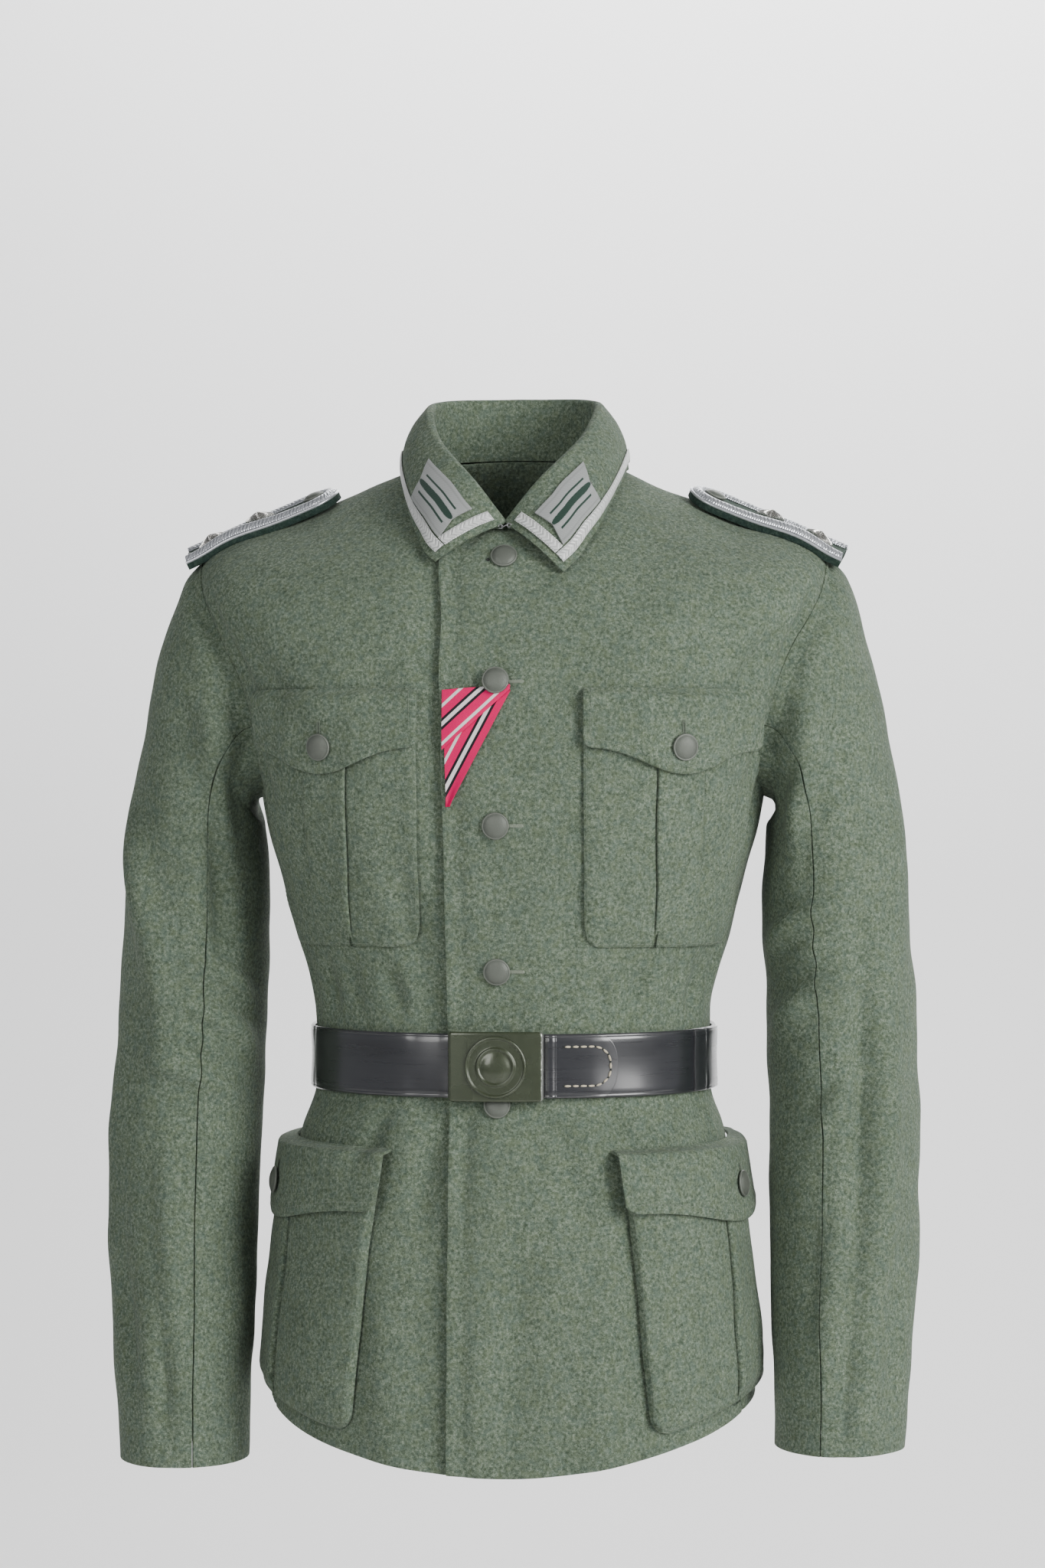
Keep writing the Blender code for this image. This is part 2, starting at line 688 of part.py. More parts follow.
# Turned pieces: a profile of radius and height, from the middle of the back to the middle of the face
def turned(name, profile, segments, place, finish, start_turn=0.0):
    verts, faces, rings = [], [], []
    for radius, height in profile:
        if radius == 0:
            rings.append([len(verts)])
            verts.append(place(0.0, 0.0, height))
            continue
        rings.append(list(range(len(verts), len(verts) + segments)))
        for k in range(segments):
            turn = start_turn + 2 * math.pi * k / segments
            verts.append(place(radius * math.cos(turn), radius * math.sin(turn), height))
    for low, high in zip(rings, rings[1:]):
        for k in range(segments):
            a, b = low[k % len(low)], low[(k + 1) % len(low)]
            c, d = high[(k + 1) % len(high)], high[k % len(high)]
            face = [a, b, c, d]
            if a == b:
                face = [a, c, d]
            elif c == d:
                face = [a, b, c]
            faces.append(tuple(face))
    return add_object(name, verts, faces, finish)


def plane(point, normal):
    # Places flat pieces: across and up on the plane, and out along its normal
    across = Vector((0, 0, 1)).cross(normal).normalized()
    up = normal.cross(across)
    return lambda a, b, h: point + across * a + up * b + normal * h


def button(name, point, normal, radius=BUTTON_RADIUS, thick=BUTTON_THICK):
    # Its rim is raised, where the cloth below is hollow, until it clears the cloth
    rim = plane(point, normal)
    need = 0.0
    for k in range(12):
        turn = math.pi * k / 6
        edge = rim(radius * math.cos(turn), radius * math.sin(turn), 0.0003)
        spot, face, _, _ = SKIN.find_nearest(edge)
        need = max(need, 0.0004 - (edge - spot).dot(face))
    point = point + normal * need
    profile = (
        (0, 0.0003), (radius * 0.93, 0.0003), (radius, thick * 0.38),
        (radius * 0.90, thick * 0.78), (radius * 0.5, thick * 0.97), (0, thick),
    )
    turned(name, profile, 14, plane(point, normal), BUTTON_METAL)


# Pockets and flaps: each spot is an angle and ring height, reached from a start x by walking round
def spot_at_height(start_x, distance, z):
    v = ring_at(z, lambda height: angle_at(start_x, height))
    angle = walk(v, angle_at(start_x, v), distance)
    return angle, ring_at(z, lambda _: angle)


CHEST = {"start": 0.058, "width": 0.138, "top": -0.1785, "bottom": -0.344, "pleat": 0.0175}
CHEST_FLAP = {"top": -0.163, "corner": -0.2055, "tip": -0.2225, "button": -0.2035}
SKIRT = {"start_top": 0.083, "start_bottom": 0.1035, "width": 0.198, "top": 2.72, "bottom": 0.16, "pleat": 0.020}
SKIRT_FLAP = {"top": 2.93, "corner": 2.12, "tip": 1.88, "button": 2.30}
PLEAT_RISE = 0.0028
POCKET_LAY = 0.0009


def laid(name, spots, low, high, finish, side):
    # Wall over the body between two heights, which are functions of a spot's row and column
    outer, inner = [], []
    for r, row in enumerate(spots):
        top, under = [], []
        for c, (angle, v) in enumerate(row):
            bottom, face = low(r, c), high(r, c)
            point = lifted(SKIN, body_point(side * angle, v, bottom), bottom)
            under.append(point)
            top.append(point + bare_normal(side * angle, v) * (face - bottom))
        outer.append(top)
        inner.append(under)
    slab(name, outer, inner, finish)


def chest_pocket(side):
    middle, half = CHEST["width"] / 2, CHEST["pleat"]
    columns = (0, 0.016, 0.032, middle - half - 0.002, middle - half, middle - half + 0.0015,
               middle, middle + half - 0.002, middle + half, 0.104, 0.121, CHEST["width"])
    rises = (0, 0.0002, 0.0003, 0.0004, -0.0010, PLEAT_RISE, PLEAT_RISE * 0.85, PLEAT_RISE * 0.6, 0, 0.0003, 0.0002, 0)
    heights = [blend(CHEST["top"], CHEST["bottom"], k / 7) for k in range(8)]
    spots = [[spot_at_height(CHEST["start"], d, z) for d in columns] for z in heights]
    name = "chest_pocket_left" if side > 0 else "chest_pocket_right"
    laid(name, spots, lambda r, c: POCKET_LAY, lambda r, c: POCKET_LAY + WALL + rises[c], WOOL, side)


def skirt_start(v):
    return blend(SKIRT["start_bottom"], SKIRT["start_top"], (v - SKIRT["bottom"]) / (SKIRT["top"] - SKIRT["bottom"]))


def skirt_spot(distance, v):
    return walk(v, angle_at(skirt_start(v), v), distance), v


def skirt_pocket(side):
    # Bellows pocket: its wall stands up at the edges and spans a shallow hollow
    middle, half, width = SKIRT["width"] / 2, SKIRT["pleat"], SKIRT["width"]
    stand = 0.0075
    columns = (0, 0.0015, 0.020, 0.038, 0.057, middle - half - 0.003, middle - half, middle - half + 0.002,
               middle, middle + half - 0.002, middle + half, 0.138, 0.157, 0.177, width - 0.0015, width)
    rises = (0, stand, stand, stand + 0.001, stand + 0.001, stand + 0.001, stand - 0.002, stand + 0.0035,
             stand + 0.003, stand + 0.002, stand + 0.001, stand, stand, stand - 0.001, stand - 0.002, 0)
    rows = [blend(SKIRT["top"], SKIRT["bottom"] + 0.02, k / 6) for k in range(7)]
    rows = rows + [SKIRT["bottom"]]
    last = len(rows) - 1

    def rise(r, c):
        return 0.0 if r == last else rises[c] * (0.55 if r == 0 else 1.0)

    def drawn_in(c, r):
        # The inner face is drawn in by a wall at the pocket's sides and foot
        inset = WALL if c <= 1 else -WALL if c >= len(columns) - 2 else 0.0
        return columns[c] + inset, rows[r] + (0.028 if r >= last - 1 else 0.0)

    outer, inner = [], []
    for r, v in enumerate(rows):
        top, under = [], []
        for c, distance in enumerate(columns):
            angle, height = skirt_spot(distance, v)
            high = POCKET_LAY + rise(r, c)
            top.append(lifted(SKIN, body_point(side * angle, height, high), high))
            angle, height = skirt_spot(*drawn_in(c, r))
            low = POCKET_LAY + max(rise(r, c) - WALL, 0.0)
            under.append(lifted(SKIN, body_point(side * angle, height, low), low))
        outer.append(top)
        inner.append(under)
    slab("skirt_pocket_left" if side > 0 else "skirt_pocket_right", outer, inner, WOOL)


FLAP_SHARES = (-1, -0.82, -0.6, -0.42, -0.3, -0.15, 0, 0.15, 0.3, 0.42, 0.6, 0.82, 1)
FLAP_ROWS = (0, 0.2, 0.6, 1)


def scallop(share):
    # 1 at the flap's tip, 0 at its corners, with a hollow curve between
    return ((1 + math.cos(math.pi * share)) / 2) ** 1.4


def flap(side, name, spot, sizes, rise_edge, rise_middle):
    spots = []
    for row in FLAP_ROWS:
        line = []
        for share in FLAP_SHARES:
            low = blend(sizes["corner"], sizes["tip"], scallop(share))
            line.append(spot(share, blend(sizes["top"], low, row)))
        spots.append(line)

    def low(r, c):
        share = abs(FLAP_SHARES[c])
        full = rise_edge + (rise_middle - rise_edge) * (1 - ease((share - 0.32) / 0.3))
        return LAY + full if r > 0 else LAY * 0.72

    laid(name, spots, low, lambda r, c: low(r, c) + WALL, WOOL, side)


def chest_flap_spot(share, z):
    half = CHEST["width"] / 2
    return spot_at_height(CHEST["start"], half + share * (half + 0.001), z)


def skirt_flap_spot(share, v):
    half = SKIRT["width"] / 2
    return skirt_spot(half + share * (half + 0.005), v)


CHEST_FLAP_RISE = POCKET_LAY + WALL + PLEAT_RISE
SKIRT_FLAP_RISE = 0.0125

for side, word in ((1, "left"), (-1, "right")):
    chest_pocket(side)
    skirt_pocket(side)
    flap(side, f"chest_flap_{word}", chest_flap_spot, CHEST_FLAP, POCKET_LAY + WALL + 0.0004, CHEST_FLAP_RISE)
    flap(side, f"skirt_flap_{word}", skirt_flap_spot, SKIRT_FLAP, SKIRT_FLAP_RISE - 0.0015, SKIRT_FLAP_RISE)
    for name, spot, height, rise in (
        (f"chest_flap_button_{word}", chest_flap_spot, CHEST_FLAP["button"], CHEST_FLAP_RISE),
        (f"skirt_flap_button_{word}", skirt_flap_spot, SKIRT_FLAP["button"], SKIRT_FLAP_RISE),
    ):
        angle, v = spot(0, height)
        point = body_point(side * angle, v, LAY + rise + WALL + 0.0002)
        button(name, point, bare_normal(side * angle, v))


# Front buttons, and the ribbon folded through the second buttonhole
BUTTON_X = -0.003
BUTTON_HEIGHTS = (-0.070, -0.159, -0.259, -0.361, -0.4545)
RIBBON_THICK = 0.0012
RIBBON_RISE = LAY + RIBBON_THICK + 0.0004

for number, height in enumerate(BUTTON_HEIGHTS, 1):
    spot = front_spot(BUTTON_X, height)
    seat = RIBBON_RISE + RIBBON_THICK + 0.0003 if number == 2 else 0.0
    button(f"front_button_{number}", body_point(*spot, seat), bare_normal(*spot))


def ribbon(name, corners, out):
    # Four corners as x and z: top left, top right, bottom right, bottom left
    steps = 5
    grids = []
    for height in (out + RIBBON_THICK, out):
        grid = []
        for r in range(steps + 1):
            row = []
            for c in range(steps + 1):
                x = blend(blend(corners[0][0], corners[1][0], c / steps),
                          blend(corners[3][0], corners[2][0], c / steps), r / steps)
                z = blend(blend(corners[0][1], corners[1][1], c / steps),
                          blend(corners[3][1], corners[2][1], c / steps), r / steps)
                row.append(body_point(*front_spot(x, z), height))
            grid.append(row)
        grids.append(grid)
    slab(name, *grids, RIBBON_CLOTH)


ribbon("ribbon_tail", ((-0.0402, -0.170), (0.0058, -0.172), (-0.0350, -0.2450), (-0.0372, -0.2450)), LAY)
ribbon("ribbon_fold", ((-0.0395, -0.1645), (0.0062, -0.1620), (0.0070, -0.1765), (-0.0405, -0.1755)), RIBBON_RISE)


# Belt: a strap from one side of the buckle round the back to the other
BUCKLE_LEFT, BUCKLE_RIGHT = 0.0300, -0.0370
BUCKLE_TALL = 0.049
STRAP_LEFT, STRAP_RIGHT = 0.0170, -0.0250
STRAP_OUT = 0.0013


def strap_point(angle, z, out):
    point = body_point(angle, 4.5, STRAP_OUT)
    flat = Vector((bare_normal(angle, 4.5).x, bare_normal(angle, 4.5).y, 0)).normalized()
    point.z = z
    point = lifted(SKIN, point, STRAP_OUT)
    point.z = z
    return point + flat * out


def belt_strap():
    start = angle_at(STRAP_LEFT, 4.5)
    end = 2 * math.pi + angle_at(STRAP_RIGHT, 4.5)
    angles = [blend(start, end, k / 48) for k in range(49)]
    levels = [BELT_HEIGHT + BELT_WIDTH * share for share in (-0.5, 0, 0.5)]
    outer = [[strap_point(a, z, BELT_THICK) for a in angles] for z in levels]
    inner = [[strap_point(a, z, 0.0) for a in angles] for z in levels]
    slab("belt_strap", outer, inner, LEATHER)


BUCKLE_FACE = -0.1285
BUCKLE_BULGE = 0.0026
BUCKLE_WALL = 0.0016
BUCKLE_MIDDLE = (BUCKLE_LEFT + BUCKLE_RIGHT) / 2


def buckle_face_y(x):
    half = (BUCKLE_LEFT - BUCKLE_RIGHT) / 2
    return BUCKLE_FACE + BUCKLE_BULGE * ((x - BUCKLE_MIDDLE) / half) ** 2


def buckle_plate():
    # Convex plate whose two sides turn back to the strap
    def foot(x):
        return strap_point(angle_at(x, 4.5), BELT_HEIGHT, BELT_THICK + 0.0016).y

    xs = [blend(BUCKLE_RIGHT, BUCKLE_LEFT, k / 8) for k in range(9)]
    outer_path = [(xs[0], foot(xs[0]))] + [(x, buckle_face_y(x)) for x in xs] + [(xs[-1], foot(xs[-1]))]
    inner_path = []
    for k, (x, y) in enumerate(outer_path):
        x = min(max(x, BUCKLE_RIGHT + BUCKLE_WALL), BUCKLE_LEFT - BUCKLE_WALL)
        inner_path.append((x, y if k in (0, len(outer_path) - 1) else y + BUCKLE_WALL))
    levels = [BELT_HEIGHT + BUCKLE_TALL * share for share in (-0.5, 0.5)]
    outer = [[Vector((x, y, z)) for x, y in outer_path] for z in levels]
    inner = [[Vector((x, y, z)) for x, y in inner_path] for z in levels]
    slab("buckle_plate", outer, inner, BUCKLE_METAL)


def buckle_boss():
    # Plain turned rings round a plain dome, bent to the plate
    profile = (
        (0, 0.0003), (0.0216, 0.0003), (0.0216, 0.0010), (0.0207, 0.0015), (0.0196, 0.0009),
        (0.0140, 0.0009), (0.0128, 0.0016), (0.0116, 0.0010), (0.0060, 0.0022), (0, 0.0027),
    )
    middle = Vector((BUCKLE_MIDDLE, 0, BELT_HEIGHT))

    def place(a, b, h):
        x = middle.x + a
        return Vector((x, buckle_face_y(x) - h, middle.z + b))

    turned("buckle_boss", profile, 24, place, BUCKLE_METAL)


belt_strap()
buckle_plate()
buckle_boss()


# Shoulder boards, each flat and stiff on the crest of the shoulder
BOARD_NECK = Vector((0.128, 0.004, -0.018))
BOARD_TIP = Vector((0.2405, 0.002, -0.0665))
BOARD_HALF = 0.023
BOARD_THICK = 0.0045
BOARD_TILT = math.radians(15)
BOARD_LENGTH = (BOARD_TIP - BOARD_NECK).length


def board_frame(side):
    along = (BOARD_TIP - BOARD_NECK).normalized()
    level = Vector((0, 1, 0))
    up = along.cross(level).normalized()
    up = up if up.z > 0 else -up
    normal = (up * math.cos(BOARD_TILT) - level * math.sin(BOARD_TILT)).normalized()
    back = normal.cross(along)
    back = back if back.y > 0 else -back

    def place(a, b, h):
        point = BOARD_NECK + along * a + back * b + normal * h
        return Vector((side * point.x, point.y, point.z))

    return place


def outline(inset):
    # The board's edge from its tip along the front, round the neck end and back along the rear
    radius = BOARD_HALF - inset
    points = [(BOARD_LENGTH - 0.0005 - inset * 0.2, -radius), (BOARD_LENGTH * 0.6, -radius)]
    for k in range(9):
        turn = math.radians(-90 - 180 * k / 8)
        points.append((BOARD_HALF + radius * math.cos(turn), radius * math.sin(turn)))
    points += [(BOARD_LENGTH * 0.6, radius), (BOARD_LENGTH - 0.0005 - inset * 0.2, radius)]
    return points


SHOULDER_VERTS = SKIN_VERTS[:]
SHOULDER_FACES = SKIN_FACES[:]
for side in (1, -1):
    base = len(SHOULDER_VERTS)
    for p in SLEEVE_PLACES[:6]:
        SHOULDER_VERTS += [sleeve_point(side, math.radians(ARM_STEP * k), p) for k in range(20)]
    for r in range(5):
        for k in range(20):
            a, b = base + r * 20 + k, base + r * 20 + (k + 1) % 20
            quad = (a, b, b + 20, a + 20) if side > 0 else (a + 20, b + 20, b, a)
            SHOULDER_FACES += [(quad[0], quad[2], quad[1]), (quad[0], quad[3], quad[2])]
SHOULDERS = BVHTree.FromPolygons(SHOULDER_VERTS, SHOULDER_FACES)


def board_seat(place):
    # How far out the board moves for its underside just to clear the shoulder
    need = -1.0
    for i in range(13):
        for j in range(-4, 5):
            point = place(BOARD_LENGTH * i / 12, BOARD_HALF * j / 4, 0.0)
            normal = (place(0, 0, 1) - place(0, 0, 0)).normalized()
            hit, _, _, distance = SHOULDERS.ray_cast(point + normal * 0.05, -normal, 0.10)
            if hit:
                need = max(need, 0.05 - distance + 0.0005)
    return need


def shoulder_board(side):
    word = "left" if side > 0 else "right"
    place = board_frame(side)
    seat = board_seat(place)
    edge = outline(0.0)
    grids = []
    for height in (seat + BOARD_THICK, seat):
        middle = [(blend(edge[k][0], edge[-1 - k][0], 0.5), 0.0) for k in range(len(edge) // 2 + 1)]
        front = edge[:len(edge) // 2 + 1]
        rear = edge[::-1][:len(edge) // 2 + 1]
        rows = []
        for line in (front, middle, rear):
            rows.append([place(a, b, height) for a, b in line[:-1]])
        grids.append(rows)
    slab(f"shoulder_board_{word}", *grids, DARK_CLOTH)
    grids = []
    for height in (seat + BOARD_THICK + 0.0003 + 0.0012, seat + BOARD_THICK + 0.0003):
        grids.append([[place(a, b, height) for a, b in outline(inset)] for inset in (0.0035, 0.0105)])
    slab(f"board_braid_{word}", *grids, BRAID)
    top = seat + BOARD_THICK
    for number, distance in enumerate((BOARD_LENGTH * 0.50, BOARD_LENGTH * 0.82), 1):
        profile = ((0, 0.0004), (0.0098, 0.0004), (0.0098, 0.0010), (0, 0.0034))
        turned(f"pip_{word}_{number}", profile, 4,
               lambda a, b, h, d=distance: place(d + a, b, top + h), PIP_METAL)
    profile = ((0, 0.0004), (0.0076, 0.0004), (0.0082, 0.0018), (0.0070, 0.0034), (0, 0.0042))
    turned(f"board_button_{word}", profile, 16, lambda a, b, h: place(0.0165 + a, b, top + 0.0018 + h), BUTTON_METAL)


shoulder_board(1)
shoulder_board(-1)


# Hook that closes the collar's two ends
def collar_hook():
    edge = COLLAR[FALL_FIRST][0]
    y = edge.y - WALL / 2 - 0.0016
    grids = []
    for out in (0.0011, 0.0):
        grids.append([[Vector((x, y - out, edge.z + z)) for x in (-0.0035, 0.0, 0.0035)] for z in (-0.0035, 0.0005)])
    slab("collar_hook", *grids, STEEL)


collar_hook()
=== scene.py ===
# Field tunic, worn closed with its leather belt. Metres, +Z up; it faces -Y and the wearer's left is +X.
import math
import bmesh
import bpy
import numpy as np
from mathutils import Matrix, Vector
from mathutils.bvhtree import BVHTree


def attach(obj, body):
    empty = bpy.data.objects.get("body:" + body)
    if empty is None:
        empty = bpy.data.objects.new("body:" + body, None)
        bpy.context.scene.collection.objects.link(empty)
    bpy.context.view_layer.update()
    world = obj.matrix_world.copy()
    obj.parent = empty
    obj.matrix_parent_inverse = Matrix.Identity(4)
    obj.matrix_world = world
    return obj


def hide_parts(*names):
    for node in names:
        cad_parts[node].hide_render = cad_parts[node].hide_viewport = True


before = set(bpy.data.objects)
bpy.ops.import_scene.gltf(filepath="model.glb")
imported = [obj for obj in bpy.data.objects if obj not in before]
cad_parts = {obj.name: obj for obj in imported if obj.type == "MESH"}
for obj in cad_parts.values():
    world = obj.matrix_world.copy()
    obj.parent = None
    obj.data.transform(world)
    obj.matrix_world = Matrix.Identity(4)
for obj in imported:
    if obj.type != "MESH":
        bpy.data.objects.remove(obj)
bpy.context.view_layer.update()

print("frame loaded")

cloth = {"wall": 0.0022, "seam": 0.0001, "lay": 0.0007}


def blend(start, end, share):
    return start + (end - start) * share


def ease(share):
    share = np.clip(share, 0.0, 1.0)
    return share * share * (3 - 2 * share)


def smoothRow(table, place):
    # Smooth curve through a table's rows, read at fractional row numbers
    place = np.clip(np.asarray(place, float), 0, len(table) - 1)
    i = np.minimum(place.astype(int), len(table) - 2)
    t = (place - i)[..., None]
    rows = np.vstack([2 * table[:1] - table[1:2], table, 2 * table[-1:] - table[-2:-1]])
    a, b, c, d = rows[i], rows[i + 1], rows[i + 2], rows[i + 3]
    return b + 0.5 * t * (c - a + t * (2 * a - 5 * b + 4 * c - d + t * (3 * (b - c) + d - a)))


# The body's rings from hem to neck: zFront zSide zBack halfWidth yFront ySide yBack squareness
body = {
    "rings": np.array([
        (-0.709, -0.672, -0.692, 0.1765, -0.150, 0.000, 0.140, 2.30),
        (-0.620, -0.604, -0.612, 0.1685, -0.143, 0.000, 0.134, 2.30),
        (-0.540, -0.534, -0.538, 0.1610, -0.134, 0.000, 0.127, 2.30),
        (-0.482, -0.482, -0.482, 0.1545, -0.126, 0.000, 0.119, 2.30),
        (-0.450, -0.450, -0.450, 0.1440, -0.1165, 0.000, 0.1095, 2.25),
        (-0.404, -0.404, -0.404, 0.1438, -0.1163, 0.000, 0.1093, 2.25),
        (-0.370, -0.370, -0.370, 0.1495, -0.120, 0.000, 0.113, 2.25),
        (-0.315, -0.315, -0.315, 0.1645, -0.128, 0.000, 0.122, 2.30),
        (-0.260, -0.260, -0.260, 0.1790, -0.134, 0.000, 0.128, 2.40),
        (-0.212, -0.215, -0.215, 0.1880, -0.136, 0.000, 0.131, 2.50),
        (-0.164, -0.142, -0.164, 0.2080, -0.131, 0.002, 0.126, 2.60),
        (-0.114, -0.064, -0.106, 0.2290, -0.118, 0.005, 0.116, 2.50),
        (-0.081, -0.030, -0.048, 0.1500, -0.102, 0.010, 0.098, 2.25),
        (-0.050, 0.004, 0.012, 0.0700, -0.080, 0.012, 0.062, 2.05),
    ]),
    "armMiddle": 9.8, "armReach": 1.2, "armAngle": math.radians(26), "seamTurn": 126,
    "beltHeight": -0.427, "ripple": 0.0007,
}
topRing = len(body["rings"]) - 1

# Soft troughs and ridges: angle from centre front, height, lean, length, width, depth, bend
bodyFolds = (
    (62, -0.125, 20, 0.050, 0.009, -0.0030, 0), (50, -0.150, 28, 0.060, 0.012, -0.0022, 2),
    (-60, -0.130, -22, 0.055, 0.009, -0.0030, 0), (-47, -0.155, -30, 0.060, 0.012, -0.0022, -2),
    (66, -0.196, 34, 0.070, 0.008, -0.0034, 3), (-65, -0.200, -36, 0.070, 0.008, -0.0034, -3),
    (73, -0.232, 22, 0.080, 0.010, -0.0030, 3), (-74, -0.236, -24, 0.085, 0.010, -0.0034, -3),
    (38, -0.376, 12, 0.032, 0.008, -0.0028, 0), (62, -0.376, -6, 0.034, 0.009, -0.0032, 0),
    (50, -0.372, 4, 0.030, 0.006, -0.0020, 0), (27, -0.378, -8, 0.026, 0.006, -0.0018, 0),
    (-30, -0.376, -10, 0.032, 0.007, -0.0026, 0), (-55, -0.376, 8, 0.034, 0.009, -0.0032, 0),
    (-43, -0.374, -4, 0.030, 0.006, -0.0020, 0), (88, -0.376, 4, 0.034, 0.010, -0.0034, 0),
    (-86, -0.376, -4, 0.034, 0.010, -0.0034, 0), (75, -0.345, 14, 0.060, 0.008, -0.0026, 2),
    (-72, -0.345, -16, 0.060, 0.008, -0.0026, -2), (17, -0.330, 2, 0.090, 0.010, -0.0016, 0),
    (-23, -0.320, -3, 0.120, 0.010, -0.0022, 0), (-13, -0.250, 1, 0.150, 0.009, -0.0014, 0),
    (18, -0.500, -14, 0.080, 0.010, -0.0026, -2), (-20, -0.510, 12, 0.080, 0.010, -0.0026, 2),
    (9, -0.486, -5, 0.045, 0.006, -0.0016, 0), (-9, -0.488, 4, 0.050, 0.006, -0.0016, 0),
    (33, -0.478, -18, 0.040, 0.008, -0.0024, 0), (-35, -0.480, 20, 0.042, 0.008, -0.0024, 0),
    (24, -0.650, 4, 0.120, 0.014, 0.0030, 0), (-27, -0.650, -4, 0.110, 0.014, 0.0030, 0),
    (4, -0.620, 2, 0.140, 0.012, -0.0018, 0), (-5, -0.640, -1, 0.110, 0.013, 0.0016, 0),
    (118, -0.600, 4, 0.170, 0.022, 0.0045, 0), (-120, -0.600, -4, 0.170, 0.022, 0.0045, 0),
    (142, -0.590, 2, 0.170, 0.020, -0.0045, 0), (-144, -0.590, -2, 0.170, 0.020, -0.0045, 0),
    (163, -0.610, 3, 0.170, 0.020, 0.0045, 0), (-166, -0.610, -3, 0.170, 0.020, 0.0045, 0),
    (140, -0.365, -8, 0.080, 0.011, -0.0034, 0), (-141, -0.370, 8, 0.080, 0.011, -0.0034, 0),
    (153, -0.372, -4, 0.050, 0.008, -0.0024, 0), (-154, -0.374, 4, 0.050, 0.008, -0.0024, 0),
    (166, -0.372, -3, 0.070, 0.010, -0.0030, 0), (-168, -0.368, 3, 0.070, 0.010, -0.0030, 0),
    (122, -0.200, 24, 0.110, 0.013, -0.0035, 2), (-122, -0.200, -24, 0.110, 0.013, -0.0035, -2),
    (112, -0.250, 16, 0.100, 0.010, -0.0028, 2), (-113, -0.255, -16, 0.100, 0.010, -0.0028, -2),
    (136, -0.486, 10, 0.050, 0.009, -0.0028, 0), (-137, -0.486, -10, 0.050, 0.009, -0.0028, 0),
    (160, -0.484, 3, 0.045, 0.009, -0.0026, 0), (-161, -0.484, -3, 0.045, 0.009, -0.0026, 0),
)


def rawPoint(angle, v):
    ring = np.moveaxis(smoothRow(body["rings"], v), -1, 0)
    zFront, zSide, zBack, halfWidth, yFront, ySide, yBack, squareness = ring
    s, c = np.sin(angle), np.cos(angle)
    reach = (np.abs(s) ** squareness + np.abs(c) ** squareness) ** (-1 / squareness)
    depth = np.where(c > 0, yFront, yBack) - ySide
    rise = np.where(c > 0, zFront, zBack) - zSide
    drop = np.abs(c) ** blend(2.0, 1.35, ease((v - 9) / 2))
    return np.stack([halfWidth * reach * s, ySide + depth * reach * np.abs(c), zSide + rise * drop], axis=-1)


def barePoint(angle, v):
    # The rings' surface, eased over the shoulders where no seam holds it
    angle, v = np.broadcast_arrays(np.asarray(angle, float), np.asarray(v, float))
    soft = 0.474 * np.abs(np.cos(angle)) ** 0.6 * ease((v - 9.2) / 1.2) * ease((12.95 - v) / 0.9)
    return (rawPoint(angle, v - soft) + rawPoint(angle, v + soft)) * 0.25 + rawPoint(angle, v) * 0.5


def unit(vectors):
    return vectors / np.maximum(np.linalg.norm(vectors, axis=-1, keepdims=True), 1e-9)


def bareNormal(angle, v):
    angle, v = np.broadcast_arrays(np.asarray(angle, float), np.asarray(v, float))
    step = 0.02
    along = barePoint(angle + step, v) - barePoint(angle - step, v)
    up = barePoint(angle, np.minimum(v + step, topRing)) - barePoint(angle, np.maximum(v - step, 0))
    return unit(np.cross(along, up))


def foldHeight(folds, acrossFrom, height):
    # Sum of soft folds, uneven along their length
    total = np.zeros_like(height)
    for number, (turn, z, lean, length, width, depth, bend) in enumerate(folds):
        side, up, lean = acrossFrom(turn), height - z, math.radians(lean)
        along = side * math.sin(lean) + up * math.cos(lean)
        across = side * math.cos(lean) - up * math.sin(lean) - bend * along * along
        share = np.clip(along / length, -1, 1)
        uneven = 1 + 0.22 * np.sin(5.0 * share + number * 1.7)
        wide = width * (1 + 0.25 * share * math.sin(number * 2.3))
        total += depth * uneven * np.exp(-(across / wide) ** 2) * np.cos(math.pi * share / 2) ** 2
    return total


def turnBetween(angle, degrees):
    return (angle - math.radians(degrees) + math.pi) % (2 * math.pi) - math.pi


def ripple(point, size):
    # Slow unevenness of thick cloth, without any edge or repeat that shows
    x, y, z = np.moveaxis(point, -1, 0)
    return size * (np.sin(61 * x + 23 * z + 1.3) * np.sin(47 * z - 19 * x + 0.4) + 0.6
                   * np.sin(93 * x - 71 * z + 40 * y)
                   + 0.35 * np.sin(150 * z + 37 * x) * np.sin(128 * x + 64 * y + 2.0))


def bodyPoint(angle, v, out=0.0):
    angle, v = np.broadcast_arrays(np.asarray(angle, float), np.asarray(v, float))
    point = barePoint(angle, v)
    radius = np.hypot(point[..., 0], point[..., 1])
    lift = 1.8 * foldHeight(bodyFolds, lambda turn: turnBetween(angle, turn) * radius, point[..., 2])
    lift = lift + ripple(point, body["ripple"])
    lift = lift * ease((np.abs(point[..., 2] - body["beltHeight"]) - 0.021) / 0.016)
    return point + bareNormal(angle, v) * np.asarray(lift + out)[..., None]


def angleAt(x, v):
    # Angle from centre front of the front point x from the middle
    ring = smoothRow(body["rings"], v)
    share = np.minimum(np.abs(x) / ring[..., 3], 0.999)
    across = (1 - share ** ring[..., 7]) ** (1 / ring[..., 7])
    return np.copysign(np.arctan2(share, across), x)


def ringAt(z, angleOf):
    # Ring height whose point has the height z, at the angle that angleOf gives for it
    low, high = np.zeros_like(z), np.full_like(z, float(topRing))
    for _ in range(24):
        v = (low + high) / 2
        below = barePoint(angleOf(v), v)[..., 2] < z
        low, high = np.where(below, v, low), np.where(below, high, v)
    return (low + high) / 2


